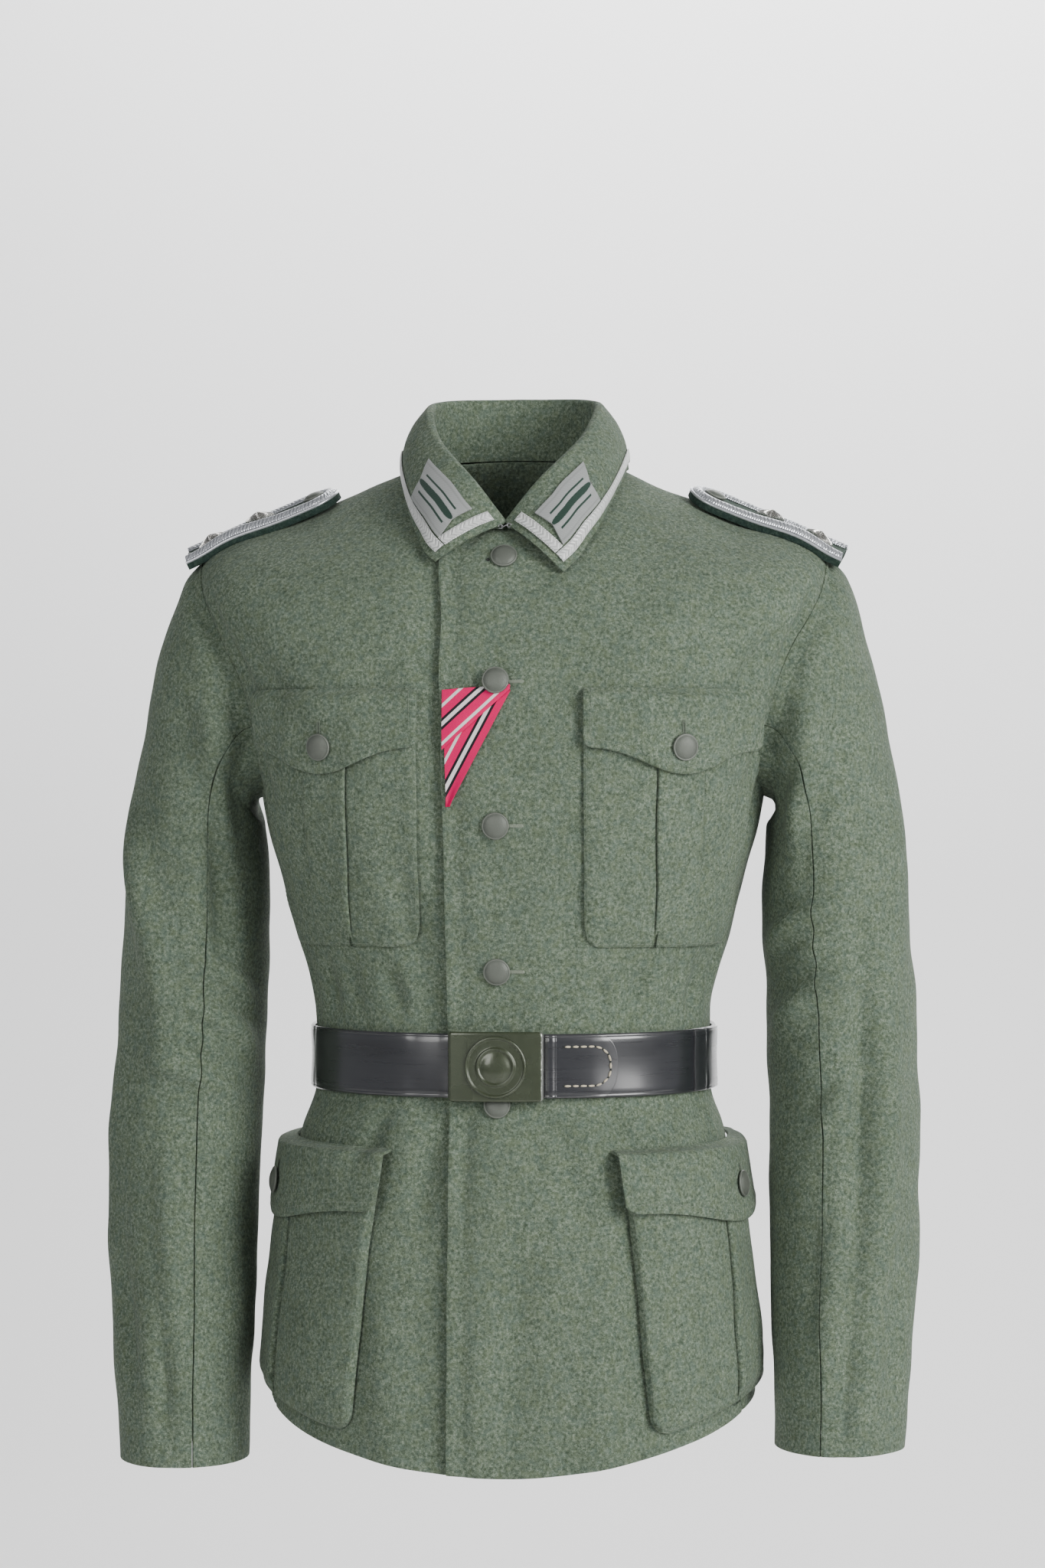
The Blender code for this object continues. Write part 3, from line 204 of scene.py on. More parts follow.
def frontSpot(x, z):
    x, z = np.broadcast_arrays(np.asarray(x, float), np.asarray(z, float))
    v = ringAt(z, lambda height: angleAt(x, height))
    return angleAt(x, v), v


def walk(v, start, distance):
    # Angle reached by walking a distance round ring v from a start angle
    v, start, distance = np.broadcast_arrays(np.asarray(v, float), np.asarray(start, float),
                                             np.asarray(distance, float))
    steps = np.radians(np.arange(0, 150, 0.75))
    angles = start[..., None] + steps
    points = barePoint(angles, v[..., None])
    lengths = np.linalg.norm(np.diff(points, axis=-2), axis=-1)
    travel = np.concatenate([np.zeros_like(lengths[..., :1]), np.cumsum(lengths, axis=-1)], axis=-1)
    flatTravel, flatAngles = travel.reshape(-1, travel.shape[-1]), angles.reshape(-1, travel.shape[-1])
    reached = [np.interp(d, t, a) for d, t, a in zip(distance.ravel(), flatTravel, flatAngles)]
    return np.array(reached).reshape(v.shape)


def armTurn(degrees):
    turn = np.radians(degrees)
    return math.pi / 2 + body["armAngle"] * np.sin(turn), body["armMiddle"] + body["armReach"] * np.cos(turn)


def upsample(grid, rows, columns):
    # Finer grid through a coarse one, smooth both ways
    grid = np.asarray(grid, float)
    tall, wide = grid.shape[:2]
    down = smoothRow(grid.reshape(tall, -1), np.linspace(0, tall - 1, rows)).reshape(rows, wide, 3)
    turned = np.swapaxes(down, 0, 1).reshape(wide, -1)
    return np.swapaxes(smoothRow(turned, np.linspace(0, wide - 1, columns)).reshape(columns, rows, 3), 0, 1)


def travelled(path):
    # Distance from the start of a path to each of its points
    return np.concatenate([[0], np.cumsum(np.linalg.norm(np.diff(path, axis=0), axis=-1))])


def gridNormals(grid, outward):
    # Unit normals of a grid, all on the side that outward points to
    across = np.gradient(grid, axis=1)
    down = np.gradient(grid, axis=0)
    normals = unit(np.cross(across, down))
    return normals * (1 if np.sum(normals * outward) > 0 else -1)


# Shader writing: a Wire is one socket, and sums of wires add Math nodes
class Wire:
    def __init__(self, finish, socket):
        self.finish, self.socket = finish, socket

    def maths(self, operation, first, second=None):
        values = {0: first} if second is None else {0: first, 1: second}
        return self.finish.node("ShaderNodeMath", {"operation": operation}, values)

    def __add__(self, other):
        return self.maths("ADD", self, other)

    def __sub__(self, other):
        return self.maths("SUBTRACT", self, other)

    def __rsub__(self, other):
        return self.maths("SUBTRACT", other, self)

    def __mul__(self, other):
        return self.maths("MULTIPLY", self, other)

    def __truediv__(self, other):
        return self.maths("DIVIDE", self, other)

    def __pow__(self, other):
        return self.maths("POWER", self, other)

    __radd__, __rmul__ = __add__, __mul__

    def size(self):
        return self.maths("ABSOLUTE", self)

    def wave(self):
        return self.maths("SINE", self)

    def repeat(self):
        return self.maths("FRACT", self)

    def above(self, level):
        return self.maths("GREATER_THAN", self, level)

    def most(self, other):
        return self.maths("MAXIMUM", self, other)


class Finish:
    # One material, with its fixed values on the shader's own sockets
    def __init__(self, name, **fixed):
        self.material = bpy.data.materials.new(name)
        self.material.use_nodes = True
        self.nodes, self.links = self.material.node_tree.nodes, self.material.node_tree.links
        self.shader = self.nodes["Principled BSDF"]
        for key, value in fixed.items():
            words = {"coat": "Coat Weight", "sheen": "Sheen Weight", "specular": "Specular IOR Level",
                     "coatRoughness": "Coat Roughness", "sheenRoughness": "Sheen Roughness"}
            self.shader.inputs[words.get(key, key.capitalize())].default_value = value

    def node(self, kind, settings=None, values=None, output=0):
        made = self.nodes.new(kind)
        for key, value in (settings or {}).items():
            if key == "stops":
                ramp = made.color_ramp.elements
                while len(ramp) < len(value):
                    ramp.new(0.5)
                for element, (place, shade) in zip(ramp, value):
                    element.position, element.color = place, (*shade, 1)
            else:
                setattr(made, key, value)
        for key, value in (values or {}).items():
            self.feed(made.inputs[key], value)
        return Wire(self, made.outputs[output])

    def feed(self, socket, value):
        if isinstance(value, Wire):
            self.links.new(value.socket, socket)
        elif isinstance(value, tuple) and len(value) == 3 and socket.type == "RGBA":
            socket.default_value = (*value, 1)
        else:
            socket.default_value = value

    def place(self, output="Object"):
        return self.node("ShaderNodeTexCoord", None, None, output)

    def noise(self, scale, detail=2.0, rough=0.5, vector=None, output=0):
        values = {"Scale": scale, "Detail": detail, "Roughness": rough, "Vector": vector or self.place()}
        return self.node("ShaderNodeTexNoise", None, values, output)

    def cells(self, scale, vector=None, feature="F1"):
        return self.node("ShaderNodeTexVoronoi", {"feature": feature},
                         {"Scale": scale, "Vector": vector or self.place()})

    def ramp(self, factor, *stops):
        return self.node("ShaderNodeValToRGB", {"stops": stops}, {"Fac": factor})

    def range(self, value, low, high, lowOut=0.0, highOut=1.0):
        numbers = {0: value, 1: low, 2: high, 3: lowOut, 4: highOut}
        return self.node("ShaderNodeMapRange", {"interpolation_type": "SMOOTHSTEP"}, numbers)

    def mix(self, factor, first, second):
        return self.node("ShaderNodeMix", {"data_type": "RGBA"}, {0: factor, 6: first, 7: second}, 2)

    def across(self):
        # The piece's own map, in metres: along the piece and across it
        flat = self.node("ShaderNodeUVMap", {"uv_map": "weave"})
        return (self.node("ShaderNodeSeparateXYZ", None, {0: flat}, 0),
                self.node("ShaderNodeSeparateXYZ", None, {0: flat}, 1), flat)

    def attribute(self, name):
        return self.node("ShaderNodeAttribute", {"attribute_name": name}, None, "Fac")

    def bump(self, height, strength, distance):
        return self.node("ShaderNodeBump", None,
                         {"Height": height, "Strength": strength, "Distance": distance})

    def finish(self, color=None, roughness=None, normal=None, metallic=None, coat=None):
        sockets = {"Base Color": color, "Roughness": roughness, "Normal": normal, "Metallic": metallic,
                   "Coat Weight": coat}
        for name, value in sockets.items():
            if value is not None:
                self.feed(self.shader.inputs[name], value)
        return self.material


# Finishes, each from the real one's own grain, weave and wear; the braids and the ribbon also carry painted
# shade in their grooves
def woolFinish(name, dark, middle, light):
    wool = Finish(name, sheen=0.04, sheenRoughness=0.55, specular=0.18)
    place = wool.place()
    drift = wool.noise(26, 3, 0.55, place)
    fleck = wool.noise(470, 4, 0.68, place)
    fibre = wool.noise(1500, 3, 0.7, place)
    heather = fleck * 0.62 + fibre * 0.38
    color = wool.ramp(heather, (0.38, dark), (0.50, middle), (0.62, light))
    hair = wool.cells(760, place)
    pale = wool.range(hair, 0.10, 0.22, 0.34, 0.0)
    color = wool.mix(pale, color, tuple(min(1.0, c * 1.55) for c in light))
    color = wool.mix(wool.range(drift, 0.35, 0.70, 0.0, 0.16), color, dark)
    tint = wool.noise(170, 3, 0.6, place)
    warm = tuple(c * w for c, w in zip(middle, (1.12, 1.06, 0.84)))
    cool = tuple(c * w for c, w in zip(middle, (0.80, 0.90, 1.10)))
    color = wool.mix(wool.range(tint, 0.50, 0.68, 0.0, 0.34), color, warm)
    color = wool.mix(wool.range(tint, 0.34, 0.50, 0.34, 0.0), color, cool)
    height = fleck * 0.6 + fibre * 0.5 + wool.noise(230, 2, 0.5, place) * 0.7
    return wool.finish(color, 0.93, wool.bump(height, 0.55, 0.0011))


def braidFinish(name, color, groove, pitch, width, rough=0.46, metallic=0.15):
    # Woven chevrons that meet in the middle, between two selvedge cords, with painted shade in their grooves
    braid = Finish(name, sheen=0.1, specular=0.5)
    along, over, _ = braid.across()
    off = (over - width / 2).size()
    chevron = ((along + off * 0.9) / pitch).repeat()
    ridge = (chevron - 0.5).size() * 2
    strand = ((along * 2600) + off * 2600 + over * 400).wave() * 0.5 + 0.5
    cord = braid.range(off, width * 0.36, width * 0.40)
    edge = ((along / (pitch * 0.55)).repeat() - 0.5).size() * 2
    relief = ridge * (1 - cord) + edge * cord
    relief = relief * 0.8 + strand * 0.2
    # Painted shade: the chevrons' low grooves and the line where the centre meets the cords are painted
    # towards the groove colour
    grooveShade = braid.range(relief, 0.05, 0.42, 0.75, 0.0)
    seam = braid.range((off - width * 0.38).size(), 0.0, width * 0.045, 0.55, 0.0)
    shade = braid.mix(grooveShade.most(seam), color, groove)
    shade = braid.mix(braid.noise(900, 2, 0.5) * 0.22, shade, groove)
    return braid.finish(shade, rough, braid.bump(relief, 0.8, 0.0006), metallic=metallic)


def ribFinish(name, stripes, ribPitch, roughness=0.5):
    # Fine cross-ribbed ribbon, painted darker between its ribs as shade; stripes are (from, to, color) across
    # its width
    ribbon = Finish(name, specular=0.15)
    along, over, _ = ribbon.across()
    color = stripes[0][2]
    for low, high, shade in stripes[1:]:
        before = ribbon.range(over, high - 0.00015, high + 0.00015, 1.0, 0.0)
        inside = ribbon.range(over, low - 0.00015, low + 0.00015) * before
        color = ribbon.mix(inside, color, shade)
    rib = (along * (2 * math.pi / ribPitch)).wave() * 0.5 + 0.5
    # Painted shade: the troughs between the cross ribs are painted darker
    color = ribbon.mix(ribbon.range(rib, 0.0, 0.5, 0.14, 0.0), color, (0.02, 0.01, 0.012))
    return ribbon.finish(color, roughness, ribbon.bump(rib, 0.5, 0.00025))


def patchFinish():
    # Flat-woven grey patch: three dark bars along it, the middle one broad with pointed ends
    patch = Finish("grey patch weave", sheen=0.2, specular=0.25)
    along, over, _ = patch.across()
    length, width = 0.050, 0.0265
    twill = ((along + over) * 5200).wave() * 0.5 + 0.5
    cross = (over * 8200).wave() * 0.5 + 0.5
    base = patch.mix(twill * 0.5, (0.24, 0.25, 0.245), (0.36, 0.375, 0.37))
    dark = (0.012, 0.035, 0.024)
    edge = patch.noise(1300, 2, 0.5) * 0.0007
    middle = (over - width / 2).size()
    near = (along - length / 2).size()
    reach = length * 0.47
    taper = (1 - (near / reach) ** 7).most(0.0)
    thick = middle - edge
    ended = patch.range(near, reach - 0.0006, reach, 1.0, 0.0)
    bar = patch.range(thick - taper * 0.0018, -0.0002, 0.0002, 1.0, 0.0) * ended
    side = (middle - width * 0.215).size()
    ended = patch.range(near, reach * 0.80 - 0.0005, reach * 0.80, 1.0, 0.0)
    thin = patch.range(side, 0.0005, 0.0008, 1.0, 0.0) * ended
    light = (middle - width * 0.135).size()
    gleam = patch.range(light, 0.0009, 0.0013, 1.0, 0.0) * patch.range(near, reach * 0.95, reach, 1.0, 0.0)
    color = patch.mix(gleam * 0.12, base, (0.44, 0.455, 0.45))
    color = patch.mix(bar.most(thin), color, dark)
    border = patch.range((middle - width * 0.42).size(), 0.0004, 0.0007, 1.0, 0.0)
    color = patch.mix(border * 0.2, color, (0.09, 0.095, 0.09))
    relief = twill * 0.4 + cross * 0.2 + gleam * 0.2 - bar * 0.3
    return patch.finish(color, 0.72, patch.bump(relief, 0.6, 0.00035))


def buttonFinish():
    # Satin paint on pebbled metal, worn a little lighter on the raised rim
    paint = Finish("button paint", specular=0.45)
    place = paint.place()
    pebble = paint.cells(1500, place)
    wear = paint.attribute("wear")
    color = paint.mix(paint.noise(240, 3, 0.6, place), (0.078, 0.088, 0.073), (0.113, 0.124, 0.106))
    color = paint.mix(wear * 0.4, color, (0.22, 0.235, 0.205))
    grain = paint.bump(pebble, 0.5, 0.00022)
    return paint.finish(color, paint.range(paint.noise(90, 2, 0.5, place), 0.3, 0.7, 0.40, 0.55), grain,
                        metallic=0.25)


def leatherFinish():
    # Black waxed leather: fine pores, long drawn streaks, greyer where it rubs at its edges
    leather = Finish("belt leather", specular=0.6, coatRoughness=0.17)
    flat = leather.across()[2]
    stretched = leather.node("ShaderNodeMapping", None, {"Vector": flat, "Scale": (14.0, 420.0, 1.0)})
    streak = leather.noise(1.0, 4, 0.62, stretched)
    pore = leather.cells(1900)
    blotch = leather.noise(30, 3, 0.5)
    wear = leather.attribute("wear")
    color = leather.mix(streak, (0.0065, 0.007, 0.009), (0.018, 0.019, 0.023))
    color = leather.mix(wear * 0.55, color, (0.055, 0.055, 0.058))
    gloss = leather.range(streak * 0.7 + blotch * 0.3, 0.30, 0.72, 0.26, 0.34)
    height = pore * 0.45 + streak * 0.15 + leather.noise(420, 3, 0.6) * 0.4
    return leather.finish(color, gloss, leather.bump(height, 0.10, 0.0003), coat=0.75)


def bucklePaint():
    # Olive paint over steel, rubbed bright along the plate's folded edges
    paint = Finish("buckle paint", specular=0.6, coat=0.5, coatRoughness=0.13)
    place = paint.place()
    wear = paint.attribute("wear")
    chips = paint.noise(520, 4, 0.65, place)
    bare = paint.range(wear + chips * 0.55, 0.95, 1.12)
    color = paint.mix(paint.noise(160, 3, 0.55, place), (0.030, 0.040, 0.020), (0.052, 0.064, 0.034))
    color = paint.mix(bare, color, (0.46, 0.47, 0.44))
    orange = paint.noise(1100, 2, 0.5, place)
    rough = paint.range(paint.noise(60, 2, 0.5, place), 0.3, 0.7, 0.20, 0.30)
    return paint.finish(color, rough, paint.bump(orange - bare * 0.6, 0.28, 0.0003),
                        metallic=bare * 0.6 + 0.30)


def plainMetal(name, color, rough, scale=900, strength=0.2):
    metal = Finish(name)
    grain = metal.noise(scale, 3, 0.6)
    shade = metal.mix(grain, tuple(c * 0.72 for c in color), color)
    return metal.finish(shade, metal.range(grain, 0.3, 0.7, rough - 0.06, rough + 0.08),
                        metal.bump(grain, strength, 0.0002), metallic=0.92)


def threadFinish(name, color, dark):
    thread = Finish(name, sheen=0.25, specular=0.3)
    place = thread.place()
    ply = thread.noise(2600, 2, 0.6, place)
    return thread.finish(thread.mix(ply, dark, color), 0.75, thread.bump(ply, 0.4, 0.00025))


finishes = {
    "wool": woolFinish("field grey wool", (0.038, 0.056, 0.036), (0.100, 0.132, 0.092),
                       (0.212, 0.256, 0.196)),
    "under": woolFinish("underlay wool", (0.008, 0.018, 0.014), (0.016, 0.032, 0.025), (0.040, 0.062, 0.050)),
    "field": woolFinish("board cloth", (0.016, 0.034, 0.025), (0.038, 0.062, 0.046), (0.085, 0.115, 0.092)),
    "braid": braidFinish("silver braid", (0.66, 0.67, 0.655), (0.24, 0.25, 0.245), 0.0034, 0.0092),
    "collarBraid": braidFinish("collar braid", (0.66, 0.67, 0.655), (0.24, 0.25, 0.245), 0.0034, 0.0080),
    "boardBraid": braidFinish("board braid", (0.56, 0.58, 0.61), (0.20, 0.21, 0.23), 0.0030, 0.0072, 0.32,
                              0.70),
    "patch": patchFinish(),
    "button": buttonFinish(),
    "leather": leatherFinish(),
    "buckle": bucklePaint(),
    "pip": plainMetal("bright pip", (0.74, 0.73, 0.70), 0.24),
    "steel": plainMetal("hook steel", (0.30, 0.30, 0.31), 0.36),
    "cream": threadFinish("cream thread", (0.62, 0.56, 0.42), (0.40, 0.35, 0.25)),
    "thread": threadFinish("green thread", (0.150, 0.190, 0.135), (0.075, 0.100, 0.068)),
    "paleThread": threadFinish("buttonhole thread", (0.27, 0.31, 0.245), (0.15, 0.18, 0.13)),
    # Painted shade: this near-black finish on the slits, the board slot, the belt's stitch holes and the
    # eyelet stands in for the shade inside them
    "hole": threadFinish("shaded slit", (0.020, 0.026, 0.020), (0.008, 0.011, 0.008)),
    "ribbon": ribFinish("striped ribbon", (
        (0, 1, (0.66, 0.001, 0.105)), (0.0055, 0.0075, (0.72, 0.71, 0.70)),
        (0.0128, 0.0146, (0.012, 0.012, 0.015)),
        (0.0146, 0.0172, (0.74, 0.73, 0.72)), (0.0172, 0.0190, (0.012, 0.012, 0.015)),
        (0.0250, 0.0270, (0.72, 0.71, 0.70)),
    ), 0.0009),
}
print("finishes made:", len(finishes))


# Meshes
def addMesh(name, points, faces, finish, weave=None):
    mesh = bpy.data.meshes.new(name)
    mesh.from_pydata([tuple(map(float, p)) for p in points], [], faces)
    if weave is not None:
        layer = mesh.uv_layers.new(name="weave")
        corners = np.zeros(len(mesh.loops), dtype=np.int32)
        mesh.loops.foreach_get("vertex_index", corners)
        layer.data.foreach_set("uv", np.asarray(weave, dtype=np.float32)[corners].ravel())
    mesh.shade_smooth()
    mesh.materials.append(finishes[finish])
    made = bpy.data.objects.new(name, mesh)
    bpy.context.collection.objects.link(made)
    return made


def gridFaces(rows, columns, ring=False):
    # Corner numbers of a grid's quads
    r, c = np.meshgrid(np.arange(rows - 1), np.arange(columns if ring else columns - 1), indexing="ij")
    after = (c + 1) % columns
    return np.stack([r * columns + c, r * columns + after, (r + 1) * columns + after, (r + 1) * columns + c],
                    axis=-1).reshape(-1, 4)


def weaveMap(grid):
    # Each point's distance along its row and down its column, in metres
    along = np.zeros(grid.shape[:2])
    down = np.zeros(grid.shape[:2])
    along[:, 1:] = np.cumsum(np.linalg.norm(np.diff(grid, axis=1), axis=-1), axis=1)
    down[1:] = np.cumsum(np.linalg.norm(np.diff(grid, axis=0), axis=-1), axis=0)
    return np.stack([along, down], axis=-1).reshape(-1, 2)


def soften(made, width, degrees):
    bevel = made.modifiers.new("edge", "BEVEL")
    bevel.width, bevel.segments = width, 2
    bevel.limit_method, bevel.angle_limit = "ANGLE", math.radians(degrees)


def shell(name, grid, outward, finish="wool", wall=None, edge=0.0008, weave=None):
    # Cloth wall inside a grid of outer points, with softly rounded cut edges
    grid = np.asarray(grid, float)
    wall = wall or cloth["wall"]
    rows, columns = grid.shape[:2]
    faces = gridFaces(rows, columns)
    facing = np.cross(grid[:-1, 1:] - grid[:-1, :-1], grid[1:, :-1] - grid[:-1, :-1])
    if np.sum(facing * np.broadcast_to(outward, grid.shape)[:-1, :-1]) < 0:
        faces = faces[:, ::-1]
    weave = weaveMap(grid) if weave is None else np.asarray(weave).reshape(-1, 2)
    made = addMesh(name, grid.reshape(-1, 3), faces.tolist(), finish, weave)
    solid = made.modifiers.new("wall", "SOLIDIFY")
    solid.thickness, solid.offset, solid.use_even_offset = wall, -1, False
    if edge:
        soften(made, edge, 62)
    return made


def keep(piece, slot, *nodes):
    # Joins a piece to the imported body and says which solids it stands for
    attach(piece, "root")
    if nodes:
        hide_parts(*nodes)
    return piece


def cutSize(grid):
    # Works out the flat cut's widest row and longest column, and the cross products of its cells, and gives
    # none of them back
    grid = np.asarray(grid, float)
    wide = np.linalg.norm(np.diff(grid, axis=1), axis=-1).sum(axis=1).max()
    tall = np.linalg.norm(np.diff(grid, axis=0), axis=-1).sum(axis=0).max()
    first = np.cross(grid[1:, 1:] - grid[:-1, :-1], grid[1:, :-1] - grid[:-1, 1:])


sides = ((1, "left"), (-1, "right"))


# Fronts, back and side panels
panels = {"rows": 108, "armRows": 42, "topRows": 32, "sink": 0.0009}
skinPoints, skinFaces = [], []


def lapEdge(v):
    return -(0.036 + 0.011 * (v / topRing) ** 2)


def edgeRows():
    # Ring heights of a panel's rows, and how far its side edge stands from the side, in angle
    seamAngle, seamTop = armTurn(-body["seamTurn"])
    low = np.linspace(0, 1, panels["rows"], endpoint=False) * seamTop
    angle, v = armTurn(np.linspace(-body["seamTurn"], 0, panels["armRows"]))
    top = np.linspace(11.0, 13.0, panels["topRows"])[1:]
    heights = np.concatenate([low, v, top])
    edges = np.concatenate([np.full_like(low, math.pi / 2 - seamAngle), math.pi / 2 - angle,
                            np.zeros_like(top)])
    return heights, edges


rowHeights, rowEdges = edgeRows()


def rememberSkin(grid):
    base = len(skinPoints)
    skinPoints.extend(Vector(p) for p in grid.reshape(-1, 3))
    skinFaces.extend(tuple(int(k) + base for k in quad) for quad in gridFaces(*grid.shape[:2]))


def sunk(distance, depth=None, width=0.0045):
    # How far an edge rolls in towards its seam
    return -(depth or panels["sink"]) * (1 - ease(distance / width)) ** 1.5


def frontPanel(side):
    name = "front_left" if side > 0 else "front_right"
    under = 0.0 if side > 0 else cloth["wall"] + 0.0009
    narrowed = 1.0 - 0.5 * ease((rowHeights - 12.2) / 0.8)
    first = lapEdge(rowHeights) if side > 0 else np.full_like(rowHeights, -0.030)
    last = 0.062 if side > 0 else 0.074
    share = np.linspace(0, 1, 40)
    xs = first[:, None] * (1 - share) + last * share
    near = angleAt(xs * narrowed[:, None], rowHeights[:, None])
    end = math.pi / 2 - rowEdges - cloth["seam"] / 0.24
    step = np.linspace(0, 1, 54)[1:]
    far = near[:, -1:] + (end[:, None] - near[:, -1:]) * step
    angles = np.concatenate([near, far], axis=1)
    xs = np.concatenate([xs, np.full_like(far, 1.0)], axis=1)
    depth = -under * (1 - ease((xs - 0.047) / 0.022)) if side < 0 else np.zeros_like(xs)
    seamGap = (end[:, None] - angles) * 0.20
    depth = depth + np.where(rowHeights[:, None] < 11.0, sunk(seamGap), sunk(seamGap, 0.0006))
    if side > 0:
        # The folded front edge stands a little proud and wavers
        fromEdge = xs - first[:, None]
        z = barePoint(angles, rowHeights[:, None])[..., 2]
        clear = ease((np.abs(z - body["beltHeight"]) - 0.021) / 0.016)
        depth = depth + clear * (0.0012 * np.exp(-(fromEdge / 0.006) ** 2) - 0.0011
                                 * np.exp(-((fromEdge - 0.011) / 0.005) ** 2))
    grid = bodyPoint(side * angles, rowHeights[:, None], depth)
    rememberSkin(grid if side > 0 else grid[:, ::-1])
    return name, grid, bareNormal(side * angles, rowHeights[:, None])


def backPanel():
    start = math.pi / 2 + rowEdges + cloth["seam"] / 0.24
    step = np.linspace(0, 1, 126)
    angles = start[:, None] + (2 * math.pi - 2 * start[:, None]) * step
    gap = np.minimum(angles - start[:, None], (2 * math.pi - start[:, None]) - angles) * 0.18
    grid = bodyPoint(angles, rowHeights[:, None],
                     np.where(rowHeights[:, None] < 11.0, sunk(gap), sunk(gap, 0.0006)))
    rememberSkin(grid)
    return "back", grid, bareNormal(angles, rowHeights[:, None])


def sidePanel(side):
    turns = np.linspace(-body["seamTurn"], -360 + body["seamTurn"], 40)
    angle, top = armTurn(turns)
    inset = np.zeros_like(angle)
    inset[0], inset[-1] = cloth["seam"] / 0.24, -cloth["seam"] / 0.24
    share = np.linspace(0, 1, panels["rows"])[:, None]
    angles = np.broadcast_to(angle + inset, (panels["rows"], len(turns)))
    heights = top * share
    gap = np.minimum(angles - angles[:, :1], angles[:, -1:] - angles) * 0.17
    gap = np.minimum(gap, (1 - share) * 0.35)
    grid = bodyPoint(side * angles, heights, sunk(gap))
    rememberSkin(grid if side > 0 else grid[:, ::-1])
    return ("side_left" if side > 0 else "side_right"), grid, bareNormal(side * angles, heights)


panelGrids = {}
for made in (frontPanel(1), frontPanel(-1), backPanel(), sidePanel(1), sidePanel(-1)):
    panelGrids[made[0]] = made[1:]
for name, (grid, normals) in panelGrids.items():
    piece = keep(shell("cloth_" + name, grid, normals), "wool", name)
    cutSize(grid)
skin = BVHTree.FromPolygons(skinPoints, skinFaces)
print("body panels made")


def lifted(tree, point, gap):
    # Moves a point out until it stands a gap clear of the cloth in the tree
    point = Vector(point)
    spot, normal, _, _ = tree.find_nearest(point)
    height = (point - spot).dot(normal)
    return point + normal * max(gap - height, 0.0) if (point - spot).length < 0.02 else point


def liftedGrid(grid, gaps, tree=None):
    gaps = np.broadcast_to(gaps, grid.shape[:2])
    flat = [lifted(tree or skin, p, float(g)) for p, g in zip(grid.reshape(-1, 3), gaps.ravel())]
    return np.array(flat).reshape(grid.shape)


# Sleeves: each section's inner and outer edge, its middle and half depth
sleeves = {
    "sections": np.array([
        (0.1810, -0.236, 0.2290, -0.062, 0.004, 0.066), (0.1850, -0.243, 0.2445, -0.080, 0.005, 0.068),
        (0.1875, -0.251, 0.2570, -0.122, 0.007, 0.068), (0.1875, -0.262, 0.2670, -0.172, 0.008, 0.068),
        (0.1860, -0.280, 0.2770, -0.230, 0.009, 0.067), (0.1840, -0.305, 0.2840, -0.285, 0.010, 0.066),
        (0.1840, -0.340, 0.2875, -0.335, 0.012, 0.065), (0.1860, -0.375, 0.2905, -0.380, 0.012, 0.064),
        (0.1870, -0.420, 0.2925, -0.425, 0.009, 0.063), (0.1890, -0.470, 0.2935, -0.470, 0.002, 0.061),
        (0.1895, -0.520, 0.2935, -0.520, -0.007, 0.059), (0.1895, -0.570, 0.2930, -0.570, -0.016, 0.057),
        (0.1900, -0.620, 0.2890, -0.620, -0.026, 0.054), (0.1920, -0.665, 0.2850, -0.665, -0.033, 0.052),
        (0.1930, -0.710, 0.2810, -0.710, -0.038, 0.050),
    ]),
    "drop": {1: 0.007, -1: -0.007}, "tuck": 0.0018, "split": 108, "rows": 150, "bands": (-0.5155, -0.5305),
    "bandWidth": 0.0092,
}
sleeveEnd = len(sleeves["sections"]) - 1

